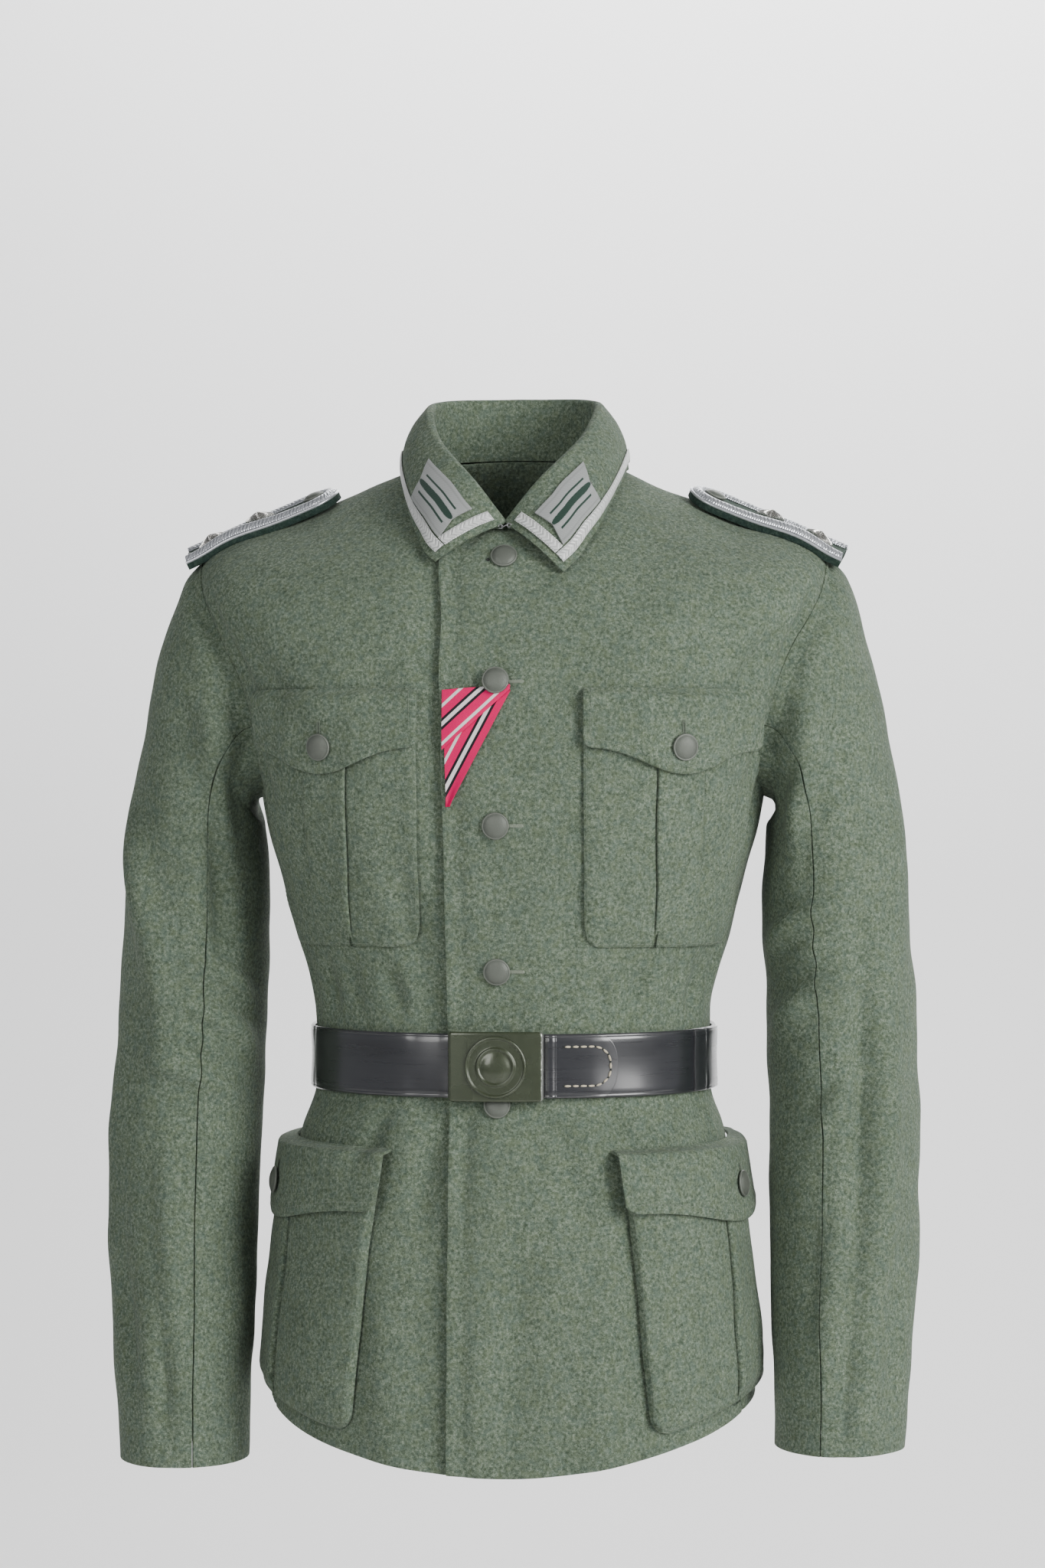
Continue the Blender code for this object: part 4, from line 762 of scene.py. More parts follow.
# Folds round a sleeve: turn from its outer edge towards the back, height, lean, length, width, depth, bend
sleeveFolds = {
    1: (
        (-78, -0.470, 3, 0.250, 0.010, 0.0035, 0), (-60, -0.480, 3, 0.220, 0.014, -0.0030, 0),
        (-125, -0.330, 60, 0.060, 0.008, -0.0045, 4), (-110, -0.375, 66, 0.060, 0.007, -0.0040, 4),
        (-118, -0.352, 58, 0.045, 0.006, -0.0022, 4), (-128, -0.395, 62, 0.050, 0.007, -0.0034, 4),
        (-90, -0.165, 24, 0.080, 0.010, -0.0035, 3), (-104, -0.205, 30, 0.075, 0.008, -0.0032, 3),
        (-118, -0.250, 20, 0.070, 0.008, -0.0030, 3), (-70, -0.120, 20, 0.050, 0.008, -0.0018, 2),
        (100, -0.380, -50, 0.070, 0.010, -0.0045, 0), (88, -0.345, -44, 0.060, 0.009, -0.0034, 0),
        (112, -0.420, -56, 0.060, 0.009, -0.0036, 0), (70, -0.300, 20, 0.120, 0.013, -0.0035, 0),
        (60, -0.560, 8, 0.120, 0.014, 0.0030, 0), (-100, -0.590, 4, 0.120, 0.010, -0.0022, 0),
        (-45, -0.640, -5, 0.090, 0.012, 0.0018, 0), (-88, -0.660, 2, 0.070, 0.009, 0.0018, 0),
        (-30, -0.300, 8, 0.120, 0.016, -0.0020, 0), (-96, -0.455, 40, 0.045, 0.007, -0.0024, 3),
    ),
    -1: (
        (-60, -0.330, 18, 0.140, 0.012, -0.0050, 1), (-118, -0.300, 4, 0.110, 0.010, 0.0045, 0),
        (-122, -0.400, 60, 0.060, 0.008, -0.0045, 4), (-105, -0.440, 66, 0.060, 0.007, -0.0040, 4),
        (-116, -0.420, 58, 0.045, 0.006, -0.0024, 4), (-128, -0.370, 56, 0.050, 0.007, -0.0030, 4),
        (-45, -0.600, 6, 0.110, 0.013, 0.0035, 0), (-88, -0.160, 24, 0.080, 0.010, -0.0035, 3),
        (-102, -0.200, 30, 0.075, 0.008, -0.0032, 3), (-116, -0.245, 18, 0.070, 0.008, -0.0030, 3),
        (-70, -0.118, 20, 0.050, 0.008, -0.0018, 2), (100, -0.390, -50, 0.070, 0.010, -0.0045, 0),
        (88, -0.352, -44, 0.060, 0.009, -0.0034, 0), (112, -0.430, -56, 0.060, 0.009, -0.0036, 0),
        (65, -0.300, 16, 0.120, 0.013, -0.0035, 0), (-90, -0.560, 4, 0.120, 0.010, -0.0024, 0),
        (-84, -0.660, 2, 0.080, 0.009, 0.0020, 0), (-30, -0.470, -6, 0.120, 0.014, -0.0020, 0),
    ),
}


def sleeveOval(side, turn, place):
    turn, place = np.broadcast_arrays(np.asarray(turn, float), np.asarray(place, float))
    xIn, zIn, xOut, zOut, yMiddle, halfDepth = np.moveaxis(smoothRow(sleeves["sections"], place), -1, 0)
    drop = sleeves["drop"][side] * ease((place - 4) / 8)
    c, s = np.cos(turn), np.sin(turn)
    oval = np.stack([(xOut - xIn) / 2 * c, halfDepth * s, (zOut - zIn) / 2 * c], axis=-1)
    middle = np.stack([(xIn + xOut) / 2, yMiddle, (zIn + zOut) / 2 + drop], axis=-1)
    share = ease(place / 3.0)[..., None]
    first = sleeves["sections"][0]
    start = np.array([(first[0] + first[2]) / 2, first[4], (first[1] + first[3]) / 2])
    # Its first loop is tucked a little way in under the armhole's edge
    angle = math.pi / 2 + (body["armAngle"] + sleeves["tuck"] / 0.14) * np.sin(turn)
    v = body["armMiddle"] + (body["armReach"] + sleeves["tuck"] / 0.045) * np.cos(turn)
    loop = bodyPoint(side * angle, v, -0.0012) * np.array([side, 1, 1])
    oval = (loop - start) * (1 - share) + oval * share
    under = ease((1 - c) / 1.2)
    middle = middle.copy()
    middle[..., 0] += 0.0050 * under * np.minimum(place / 0.3, 1.0) * (1 - share[..., 0])
    return (middle + oval) * np.array([side, 1, 1])


def sleevePoint(side, turn, place, out=0.0, normal=False):
    turn, place = np.broadcast_arrays(np.asarray(turn, float), np.asarray(place, float))
    point = sleeveOval(side, turn, place)
    around = sleeveOval(side, turn + 0.03, place) - sleeveOval(side, turn - 0.03, place)
    ahead, behind = np.minimum(place + 0.03, sleeveEnd), np.maximum(place - 0.03, 0)
    down = sleeveOval(side, turn, ahead) - sleeveOval(side, turn, behind)
    outward = unit(np.cross(around, down)) * side
    lift = 2.2 * foldHeight(sleeveFolds[side], lambda degrees: turnBetween(turn, degrees) * 0.055,
                            point[..., 2])
    lift = (lift + ripple(point, 0.0008)) * ease(place / 1.5)
    # The head rolls up from its seam, with small puckers where its fullness is eased in
    head = 0.0016 * np.sin(math.pi * np.clip(place / 1.1, 0, 1)) * (0.35 + 0.65 * np.clip(np.cos(turn), 0, 1))
    pucker = 0.0005 * np.sin(turn * 29) * np.exp(-((place - 0.45) / 0.4) ** 2) * ease(place / 0.2)
    placed = point + outward * (lift + head + pucker + out)[..., None]
    return (placed, outward) if normal else placed


sleeveRows = np.concatenate([np.linspace(0, 0.6, 16, endpoint=False),
                             np.linspace(0.6, sleeveEnd, sleeves["rows"])])
for side, word in sides:
    gap = cloth["seam"] / 0.11
    split = sleeves["split"]
    for half, low, high, count in (("top", -split, split, 76), ("under", split, 360 - split, 50)):
        turns = np.radians(np.linspace(low, high, count))
        turns[0] += gap
        turns[-1] -= gap
        fromSeam = np.minimum(turns - turns[0], turns[-1] - turns) * 0.055
        near = np.broadcast_to(fromSeam, (len(sleeveRows), count))
        depth = sunk(near, 0.0007) * ease(sleeveRows / 0.5)[:, None]
        grid, normals = sleevePoint(side, turns, sleeveRows[:, None], depth, normal=True)
        panelGrids[f"sleeve_{word}_{half}"] = (grid, normals)
        piece = keep(shell(f"cloth_sleeve_{word}_{half}", grid, normals), "wool", f"sleeve_{word}_{half}")
        cutSize(grid)
print("sleeves made")


def sleevePlace(side, z):
    # Place down the sleeve where its outer edge has the height z
    places = np.linspace(4, sleeveEnd, 400)
    heights = sleeveOval(side, 0.0, places)[..., 2]
    return float(np.interp(-z, -heights, places))


def bandWeave(grid, width):
    # Map of a strip whose rows run along it: metres down its middle line, and straight across it
    rows = len(grid)
    return np.stack(np.meshgrid(travelled(grid[rows // 2]), np.linspace(0, width, rows)),
                    axis=-1).reshape(-1, 2)


for side, word in sides:
    for number, height in enumerate(sleeves["bands"], 1):
        half = sleeves["bandWidth"] / 2
        places = np.linspace(sleevePlace(side, height + half), sleevePlace(side, height - half), 9)
        turns = np.radians(np.linspace(0, 360, 145))
        crown = 0.0004 * np.sin(np.linspace(0, math.pi, 9))[:, None] ** 0.5
        seamDip = 0.0007 * ease(1 - np.minimum(np.abs(turns - math.radians(108)),
                                               np.abs(turns - math.radians(252))) / 0.08)
        grid, normals = sleevePoint(side, turns, places[:, None], 0.0013 + crown - seamDip * 0.6, normal=True)
        name = f"cuff_band_{word}_{number}"
        piece = shell("braid_" + name, grid, normals, "braid", wall=0.0010, edge=0.0003,
                      weave=bandWeave(grid, sleeves["bandWidth"]))
        keep(piece, "braid", name)

print("cuff bands made")


# Collar: one cloth folded over at the roll line, from the hook on the left round to the right
collar = {
    # angle, roll height, then where the fall's edge lies: x and z in front, angle and ring behind
    "front": ((1.2, -0.043, 0.0480, -0.0750), (16, -0.022, 0.0555, -0.0675), (28, -0.008, 0.0605, -0.0575),
              (45, 0.008, 0.0660, -0.0460), (61, 0.022, 0.0715, -0.0320), (75, 0.036, 0.0770, -0.0165)),
    "back": ((90, 0.047, 90, 12.86), (120, 0.054, 122, 12.80), (150, 0.057, 151, 12.72),
             (180, 0.058, 180, 12.65)),
    "steps": 18, "shares": (0.0, 0.3, 0.65, 1.0), "first": 4, "fineRows": 46, "fineColumns": 181,
    "braidInset": 0.005, "braidWidth": 0.008, "patchLength": 0.050, "patchWidth": 0.0265,
}


def collarStations(side):
    # The wearer's left leaf hangs a little lower and closer to the middle than the right one
    rows = []
    for k, (a, z, x, edgeZ) in enumerate(collar["front"]):
        lower = max(0.0, 1 - k / 3.2) ** 1.3 if side > 0 else 0.0
        angle, v = frontSpot(x - 0.0062 * lower, edgeZ - 0.0082 * lower)
        rows.append((math.radians(a), z, float(angle), float(v)))
    for a, z, edge, v in collar["back"]:
        rows.append((math.radians(a), z, math.radians(edge), v))
    return np.array(rows)


stations = {1: collarStations(1), -1: collarStations(-1)}


def collarColumn(place, side):
    # Section of the collar: place 0 at its front end, 1 at the middle of the back
    angle, rollZ, edgeAngle, edgeV = smoothRow(stations[side], place * (len(stations[side]) - 1))
    s, c = math.sin(angle), math.cos(angle)
    base = Vector(barePoint(angle, topRing)) + Vector((0, 0, 0.0006))
    roll = Vector((0.063 * s, 0.010 - 0.090 * c if c > 0 else 0.010 + 0.055 * abs(c), rollZ))
    outward = Vector((s, -c, 0)).normalized()
    base -= outward * 0.0006
    turnIn = roll - outward * 0.003 - Vector((0, 0, 0.003))
    turnOut = roll + outward * 0.0035 - Vector((0, 0, 0.003))
    edge = Vector(bodyPoint(edgeAngle, edgeV, 0.0026))
    column = [base, base.lerp(turnIn, 0.5) - outward * 0.02 * (roll.z - base.z), turnIn, roll]
    for share in collar["shares"]:
        point = turnOut.lerp(edge, share)
        point += (outward * 0.8 + Vector((0, 0, 0.4))) * 0.0055 * math.sin(math.pi * share)
        point.x *= side
        point = lifted(skin, point, 0.0022 if share > 0 else 0.0018)
        point.x *= side
        column.append(point)
    return [(side * p.x, p.y, p.z) for p in column]


def collarGrid():
    steps = collar["steps"]
    columns = [collarColumn(k / steps, 1) for k in range(steps + 1)]
    columns += [collarColumn(k / steps, -1) for k in reversed(range(steps))]
    return np.swapaxes(np.array(columns), 0, 1)


coarseCollar = collarGrid()
fineCollar = upsample(coarseCollar, collar["fineRows"], collar["fineColumns"])
aroundNeck = fineCollar.copy()
aroundNeck[..., 2] = 0
collarOut = gridNormals(fineCollar, np.zeros_like(fineCollar) + np.array([0, 0, 1.0]))
fallFrom = int(round((collar["fineRows"] - 1) * collar["first"] / (len(coarseCollar) - 1)))
if np.sum(collarOut[fallFrom + 10] * aroundNeck[fallFrom + 10]) < 0:
    collarOut = -collarOut

# The cloth bows slightly between roll and edge, in waves round the collar that grow towards its cut edge
bow = 0.0007 * np.sin(np.linspace(0, 9, collar["fineColumns"]))[None, :]
bow = bow * np.linspace(0, 1, collar["fineRows"])[:, None]
fineCollar = fineCollar + collarOut * bow[..., None]
half = cloth["wall"] / 2
collarFace = fineCollar + collarOut * half
piece = keep(shell("cloth_collar", collarFace, collarOut, edge=0.0009), "wool", "collar")
cutSize(collarFace)


def fallPoint(place, share, out=0.0):
    # On the fall's outer face: place 0 to 1 round the collar, share 0 at the roll and 1 at the edge
    place, share = np.broadcast_arrays(np.asarray(place, float), np.asarray(share, float))
    column = np.clip(place, 0, 1) * (collar["fineColumns"] - 1)
    coarse = np.interp(share, collar["shares"], collar["first"] + np.arange(len(collar["shares"])))
    row = coarse / (len(coarseCollar) - 1) * (collar["fineRows"] - 1)
    c = np.minimum(column.astype(int), collar["fineColumns"] - 2)
    r = np.minimum(row.astype(int), collar["fineRows"] - 2)
    s, t = (column - c)[..., None], (row - r)[..., None]

    def mixed(grid):
        near = grid[r, c] * (1 - t) + grid[r + 1, c] * t
        far = grid[r, c + 1] * (1 - t) + grid[r + 1, c + 1] * t
        return near * (1 - s) + far * s

    return mixed(collarFace) + unit(mixed(collarOut)) * np.asarray(out)[..., None]


def fallShare(place, distance):
    # Share of the fall that lies a distance above its edge
    length = np.linalg.norm(fallPoint(place, 1.0) - fallPoint(place, 0.0), axis=-1)
    return 1 - distance / length


def fallPlace(share, distance, side=1):
    # Place that lies a distance behind one leaf's front edge, at one share of the fall
    places = np.linspace(0, 0.5, 300)
    path = fallPoint(places if side > 0 else 1 - places, share)
    return float(np.interp(distance, travelled(path), places))


def fallNormals(place, share):
    return fallPoint(place, share, 0.001) - fallPoint(place, share)


def strip(name, node, place, share, width, slot="braid", finish="collarBraid", rise=0.0014, wall=0.0010):
    crown = 0.0003 * np.sin(np.linspace(0, math.pi, place.shape[0]))[:, None] ** 0.5
    grid = fallPoint(place, share, rise + crown)
    piece = shell(name, grid, fallNormals(place, share), finish, wall=wall, edge=0.00025,
                  weave=bandWeave(grid, width))
    return keep(piece, slot, node)


low, high = collar["braidInset"], collar["braidInset"] + collar["braidWidth"]
start = fallPlace(0.9, collar["braidInset"])
places = np.linspace(start, 1 - fallPlace(0.9, collar["braidInset"], -1), 241)
edges = np.linspace(low, high, 7)
strip("braid_collar_edge", "collar_braid_edge", np.broadcast_to(places, (7, 241)),
      np.stack([fallShare(places, edge) for edge in edges]), collar["braidWidth"])
for side, word in sides:
    shares = np.linspace(0.10, float(fallShare(0.02 if side > 0 else 0.98, high + 0.0006)), 40)
    place = np.array([[fallPlace(share, edge, side) for share in shares] for edge in edges])
    place = place if side > 0 else 1 - place
    strip(f"braid_collar_{word}", f"collar_braid_{word}", place, np.broadcast_to(shares, place.shape),
          collar["braidWidth"])


def collarPatch(side, word):
    # Parallelogram of woven cloth, its length along the fall, its ends notched
    first, last = fallPlace(0.5, 0.0155, side), fallPlace(0.5, 0.0700, side)
    along = np.linspace(0, 1, 52)
    over = np.linspace(0, 1, 30)
    ends = np.exp(-along / 0.05) - np.exp(-(1 - along) / 0.05)
    notch = 0.0030 * (1 - np.abs(2 * over - 1))[:, None] * ends
    place = first + (last - first) * along + notch / 0.36
    spots = place[0] if side > 0 else 1 - place[0]
    shareLow, shareHigh = fallShare(spots, 0.0142), np.minimum(fallShare(spots, 0.0445), 0.24)
    share = shareLow + (shareHigh - shareLow) * over[:, None]
    place = np.broadcast_to(place, share.shape)
    place = place if side > 0 else 1 - place
    grid = fallPoint(place, share, 0.0021)
    weave = np.stack(np.meshgrid(along * collar["patchLength"], over * collar["patchWidth"]),
                     axis=-1).reshape(-1, 2)
    name = f"collar_patch_{word}"
    piece = shell("woven_" + name, grid, fallNormals(place, share), "patch", wall=0.0013, edge=0.0004,
                  weave=weave)
    keep(piece, "patch", name)
    cutSize(grid)


collarPatch(1, "left")
collarPatch(-1, "right")
print("collar made")


# Pockets and flaps: each spot is an angle and ring height, reached from a start by walking round
chest = {"start": 0.058, "width": 0.138, "top": -0.1785, "bottom": -0.344, "pleat": 0.0175, "corner": 0.012}
chestFlap = {"top": -0.163, "corner": -0.2055, "tip": -0.2225, "button": -0.2035}
skirt = {"startTop": 0.083, "startBottom": 0.1035, "width": 0.198, "top": 2.72, "bottom": 0.16,
         "pleat": 0.020, "stand": 0.0075}
skirtFlap = {"top": 2.93, "corner": 2.12, "tip": 1.88, "button": 2.30}
pocketLay, pleatRise = 0.0009, 0.0028
surfaces = {}


def chestSpot(distance, z):
    distance, z = np.broadcast_arrays(np.asarray(distance, float), np.asarray(z, float))
    v = ringAt(z, lambda height: angleAt(chest["start"], height))
    angle = walk(v, angleAt(chest["start"], v), np.abs(distance))
    angle = np.where(distance < 0, 2 * angleAt(chest["start"], v) - angle, angle)
    return angle, ringAt(z, lambda _: angle)


def skirtSpot(distance, v):
    distance, v = np.broadcast_arrays(np.asarray(distance, float), np.asarray(v, float))
    share = (v - skirt["bottom"]) / (skirt["top"] - skirt["bottom"])
    start = angleAt(blend(skirt["startBottom"], skirt["startTop"], share), v)
    angle = walk(v, start, np.abs(distance))
    return np.where(distance < 0, 2 * start - angle, angle), v


def laid(name, node, side, angle, v, high, wall=None, edge=0.0009):
    # Cloth lying over the body, its outer face at the given height above it
    grid = bodyPoint(side * angle, v, high)
    normals = bareNormal(side * angle, v)
    piece = keep(shell(name, grid, normals, wall=wall, edge=edge), "wool", node)
    cutSize(grid)
    surfaces[node] = grid
    return grid


def roundCorners(across, down, width, height, radius):
    # Draws a grid's two lower corners in to a radius
    fromSide = np.minimum(across, width - across)
    over = np.clip(1 - fromSide / radius, 0, 1)
    cut = radius * (1 - np.sqrt(np.clip(1 - over * over, 0, 1)))
    return down - cut * ease((down - (height - 2.2 * radius)) / (2.2 * radius))


def pleatProfile(width, half, deep, rise, count=30):
    # Distances across a pocket, close together where the box pleat folds, and the pleat's rise there
    middle = width / 2
    slit = middle - half
    far = middle + half
    keys = [(0, 0), (slit - 0.0035, 0.0006), (slit - 0.0012, 0.0005), (slit - 0.0002, -deep),
            (slit + 0.0004, -deep * 0.9), (slit - 0.0001, rise * 0.5), (slit + 0.0004, rise * 0.9),
            (slit + 0.0018, rise * 1.05), (middle, rise * 0.8), (far - 0.0015, rise * 0.85),
            (far - 0.0001, rise * 0.55), (far + 0.0004, -deep * 0.2), (far + 0.0016, 0.0002), (width, 0)]
    spacing, out = [], []
    for (a, low), (b, high) in zip(keys, keys[1:]):
        steps = max(2, int(abs(b - a) / (width / (count * 2.4))))
        for k in range(steps):
            spacing.append(blend(a, b, k / steps))
            out.append(blend(low, high, float(ease(k / steps))))
    return np.array(spacing + [width]), np.array(out + [0.0])


def chestPocket(side, word):
    width, tall = chest["width"], chest["top"] - chest["bottom"]
    across, rise = pleatProfile(width, chest["pleat"], 0.0006, pleatRise)
    down = np.linspace(0, tall, 58)[:, None]
    openness = np.sin(np.clip((down - 0.012) / (tall - 0.020), 0, 1) * math.pi) ** 0.5 * 0.55 + 0.45
    closed = ease((tall - 0.007 - down) / 0.006)
    high = rise * openness * closed
    # A pressed field: slightly hollow beside the pleat, and rolled over at its three sewn edges
    edge = np.minimum(np.minimum(across, width - across), tall - down)
    puff = 0.0007 * np.sin(across / width * math.pi) * np.sin(down / tall * math.pi)
    waver = 0.0004 * np.sin(down * 95 + across * 40 + side)
    high = pocketLay + cloth["wall"] + high + puff + waver + sunk(edge, 0.0009, 0.0035)
    across2, down2 = np.broadcast_arrays(across, down)
    down2 = roundCorners(across2, down2, width, tall, chest["corner"])
    angle, v = chestSpot(across2, chest["top"] - down2)
    return laid(f"cloth_chest_pocket_{word}", f"chest_pocket_{word}", side, angle, v, high)


def skirtPocket(side, word):
    # Bellows pocket that stands off the skirt along its edges
    width, stand = skirt["width"], skirt["stand"]
    spots, profile = pleatProfile(width, skirt["pleat"], 0.0030, pleatRise + 0.0006)
    inside = (spots > 0.004) & (spots < width - 0.004)
    rim = np.array([0.0, 0.0006, 0.0014, 0.0026])
    across = np.concatenate([rim, spots[inside], width - rim[::-1]])
    rise = np.concatenate([np.zeros(4), profile[inside], np.zeros(4)])
    share = np.linspace(0, 1, 66)[:, None]
    v = blend(skirt["top"], skirt["bottom"], share)
    fromEdge = np.minimum(across, width - across)
    foot = (v - skirt["bottom"]) * 0.078
    wall = np.minimum(fromEdge / 0.0026, foot / 0.0030)
    standing = stand * np.clip(wall, 0, 1) ** 0.5 * (0.55 + 0.45 * ease((2.72 - v) / 0.4))
    closed = ease((foot - 0.004) / 0.010)
    openness = 0.55 + 0.6 * ease((2.3 - v) / 1.2)
    sag = 0.0022 * np.sin(across / width * math.pi) ** 0.7 * ease(share * 2.2) * ease((1 - share) * 9)
    waver = 0.0009 * np.sin(v * 2.6 + across * 34 + side) * ease(fromEdge / 0.02)
    outer = np.where(across > width * 0.62, -0.0018 * ease((across - width * 0.62) / 0.05), 0.0)
    high = pocketLay + standing + (rise * openness * closed + sag + waver + outer) * ease(wall - 0.6)
    high = np.maximum(high, pocketLay + 0.0004)
    across2, v2 = np.broadcast_arrays(across, v)
    radius = 0.016
    over = np.clip(1 - np.minimum(across2, width - across2) / radius, 0, 1)
    v2 = v2 + (1 - np.sqrt(np.clip(1 - over * over, 0, 1))) * radius / 0.078 * ease((0.55 - v2) / 0.45)
    angle, v2 = skirtSpot(across2, v2)
    return laid(f"cloth_skirt_pocket_{word}", f"skirt_pocket_{word}", side, angle, v2,
                np.maximum(high, 0.0026),
                wall=0.0018)


def scallop(share):
    return ((1 + np.cos(math.pi * share)) / 2) ** 1.4


def flap(name, node, side, spot, sizes, riseEdge, riseMiddle):
    share = np.linspace(-1, 1, 91)
    row = np.concatenate([np.linspace(0, 0.12, 6), np.linspace(0.16, 1, 22)])[:, None]
    corner = np.clip((np.abs(share) - 0.90) / 0.10, 0, 1) ** 2 * 0.10
    low = blend(sizes["corner"], sizes["tip"], scallop(share))
    low = low + (sizes["top"] - sizes["corner"]) * corner
    place = sizes["top"] + (low - sizes["top"]) * row
    full = riseEdge + (riseMiddle - riseEdge) * (1 - ease((np.abs(share) - 0.32) / 0.3))
    rolled = 0.0018 * (1 - ease(row / 0.10))
    lift = 0.0011 * ease((row - 0.55) / 0.45) * (1 - 0.6 * np.abs(share))
    lift = lift + 0.0005 * np.sin(share * 7 + side) * row
    high = cloth["lay"] + cloth["wall"] + full * ease(row / 0.14) - rolled * 0.3 + lift
    fromEdge = np.minimum((1 - np.abs(share)) * 0.066, (1 - row) * 0.045)
    high = high + sunk(fromEdge, 0.0006, 0.0022)
    # A faint step where the turned-in edge ends, along the stitching
    high = high - 0.00035 * ease((fromEdge - 0.0062) / 0.0012) * ease(row / 0.1)
    angle, v = spot(np.broadcast_to(share, place.shape), place)
    return laid(name, node, side, angle, v, high)


def chestFlapSpot(share, z):
    half = chest["width"] / 2
    return chestSpot(half + share * (half + 0.001), z)


def skirtFlapSpot(share, v):
    half = skirt["width"] / 2
    return skirtSpot(half + share * (half + 0.005), v)


chestFlapRise, skirtFlapRise = pocketLay + cloth["wall"] + pleatRise, 0.0125
for side, word in sides:
    chestPocket(side, word)
    skirtPocket(side, word)
    flap(f"cloth_chest_flap_{word}", f"chest_flap_{word}", side, chestFlapSpot, chestFlap,
         pocketLay + cloth["wall"] + 0.0004, chestFlapRise)
    flap(f"cloth_skirt_flap_{word}", f"skirt_flap_{word}", side, skirtFlapSpot, skirtFlap,
         skirtFlapRise - 0.0015, skirtFlapRise)
print("pockets and flaps made")


def addWear(piece, values):
    layer = piece.data.attributes.new("wear", "FLOAT", "POINT")
    layer.data.foreach_set("value", np.asarray(values, dtype=np.float32).ravel())


# Turned pieces: a profile of radius and height spun round an axis; wear follows the profile
def spun(name, profile, place, finish, slot, node, count=48, wear=None):
    profile = np.array(profile, float)
    turns = np.linspace(0, 2 * math.pi, count, endpoint=False)
    points, faces = [], []
    for radius, height in profile:
        points += [place(radius * math.cos(t), radius * math.sin(t), height) for t in turns]
    origin = Vector(place(0, 0, 0))
    across, up, out = (Vector(place(*step)) - origin for step in ((1, 0, 0), (0, 1, 0), (0, 0, 1)))
    flip = out.dot(across.cross(up)) < 0
    for k in range(len(profile) - 1):
        for j in range(count):
            after = (j + 1) % count
            faces.append((k * count + j, k * count + after, (k + 1) * count + after, (k + 1) * count + j))
    points += [place(0, 0, profile[0][1]), place(0, 0, profile[-1][1])]
    top = (len(profile) - 1) * count
    for j in range(count):
        after = (j + 1) % count
        faces.append((len(points) - 2, after, j))
        faces.append((top + j, top + after, len(points) - 1))
    if flip:
        faces = [face[::-1] for face in faces]
    made = addMesh(name, points, faces, finish)
    if wear is not None:
        addWear(made, np.concatenate([np.repeat(np.array(wear, float), count), [0, wear[-1]]]))
    return keep(made, slot, node) if node else keep(made, slot)


def plane(point, normal):
    # Places flat pieces: across and up on the plane, and out along its normal
    point, normal = Vector(point), Vector(normal).normalized()
    across = Vector((0, 0, 1)).cross(normal).normalized()
    up = normal.cross(across)
    return lambda a, b, h: point + across * a + up * b + normal * h


buttonSize = {"radius": 0.0095, "thick": 0.0042}


def button(name, point, normal, radius=None, thick=None, place=None):
    radius, thick = radius or buttonSize["radius"], thick or buttonSize["thick"]
    if place is None:
        rim, need = plane(point, normal), 0.0
        for k in range(12):
            turn = math.pi * k / 6
            edge = rim(radius * math.cos(turn), radius * math.sin(turn), 0.0003)
            spot, face, _, _ = skin.find_nearest(edge)
            need = max(need, 0.0004 - (edge - spot).dot(face))
        place = plane(Vector(point) + Vector(normal).normalized() * need, normal)
    shares = ((0.90, 0.07), (0.97, 0.12), (1.0, 0.22), (1.0, 0.34), (0.985, 0.44), (0.955, 0.51),
              (0.925, 0.53), (0.90, 0.50), (0.875, 0.50), (0.84, 0.56), (0.76, 0.68), (0.62, 0.82),
              (0.44, 0.92), (0.24, 0.98), (0.10, 1.0))
    wear = (0, 0, 0.2, 0.4, 0.8, 1.0, 0.8, 0.0, 0.0, 0.0, 0.1, 0.2, 0.3, 0.35, 0.35)
    return spun(name + "_turned", [(radius * r, thick * h) for r, h in shares], place, "button", "button",
                name, wear=wear)


frontButtons = {"x": -0.003, "heights": (-0.070, -0.159, -0.259, -0.361, -0.4545)}
ribbon = {"thick": 0.0012, "lay": 0.0007}
ribbon["rise"] = ribbon["lay"] + ribbon["thick"] + 0.0004
for number, height in enumerate(frontButtons["heights"], 1):
    angle, v = frontSpot(0.0 if number == 1 else frontButtons["x"], height)
    seat = ribbon["rise"] + ribbon["thick"] + 0.0009 if number == 2 else 0.0
    button(f"front_button_{number}", bodyPoint(angle, v, seat), bareNormal(angle, v))
for side, word in sides:
    for kind, spot, height, rise in (("chest", chestFlapSpot, chestFlap["button"], chestFlapRise),
                                     ("skirt", skirtFlapSpot, skirtFlap["button"], skirtFlapRise)):
        angle, v = spot(0.0, height)
        point = bodyPoint(side * angle, v, cloth["lay"] + rise + cloth["wall"] + 0.0004)
        button(f"{kind}_flap_button_{word}", point, bareNormal(side * angle, v))


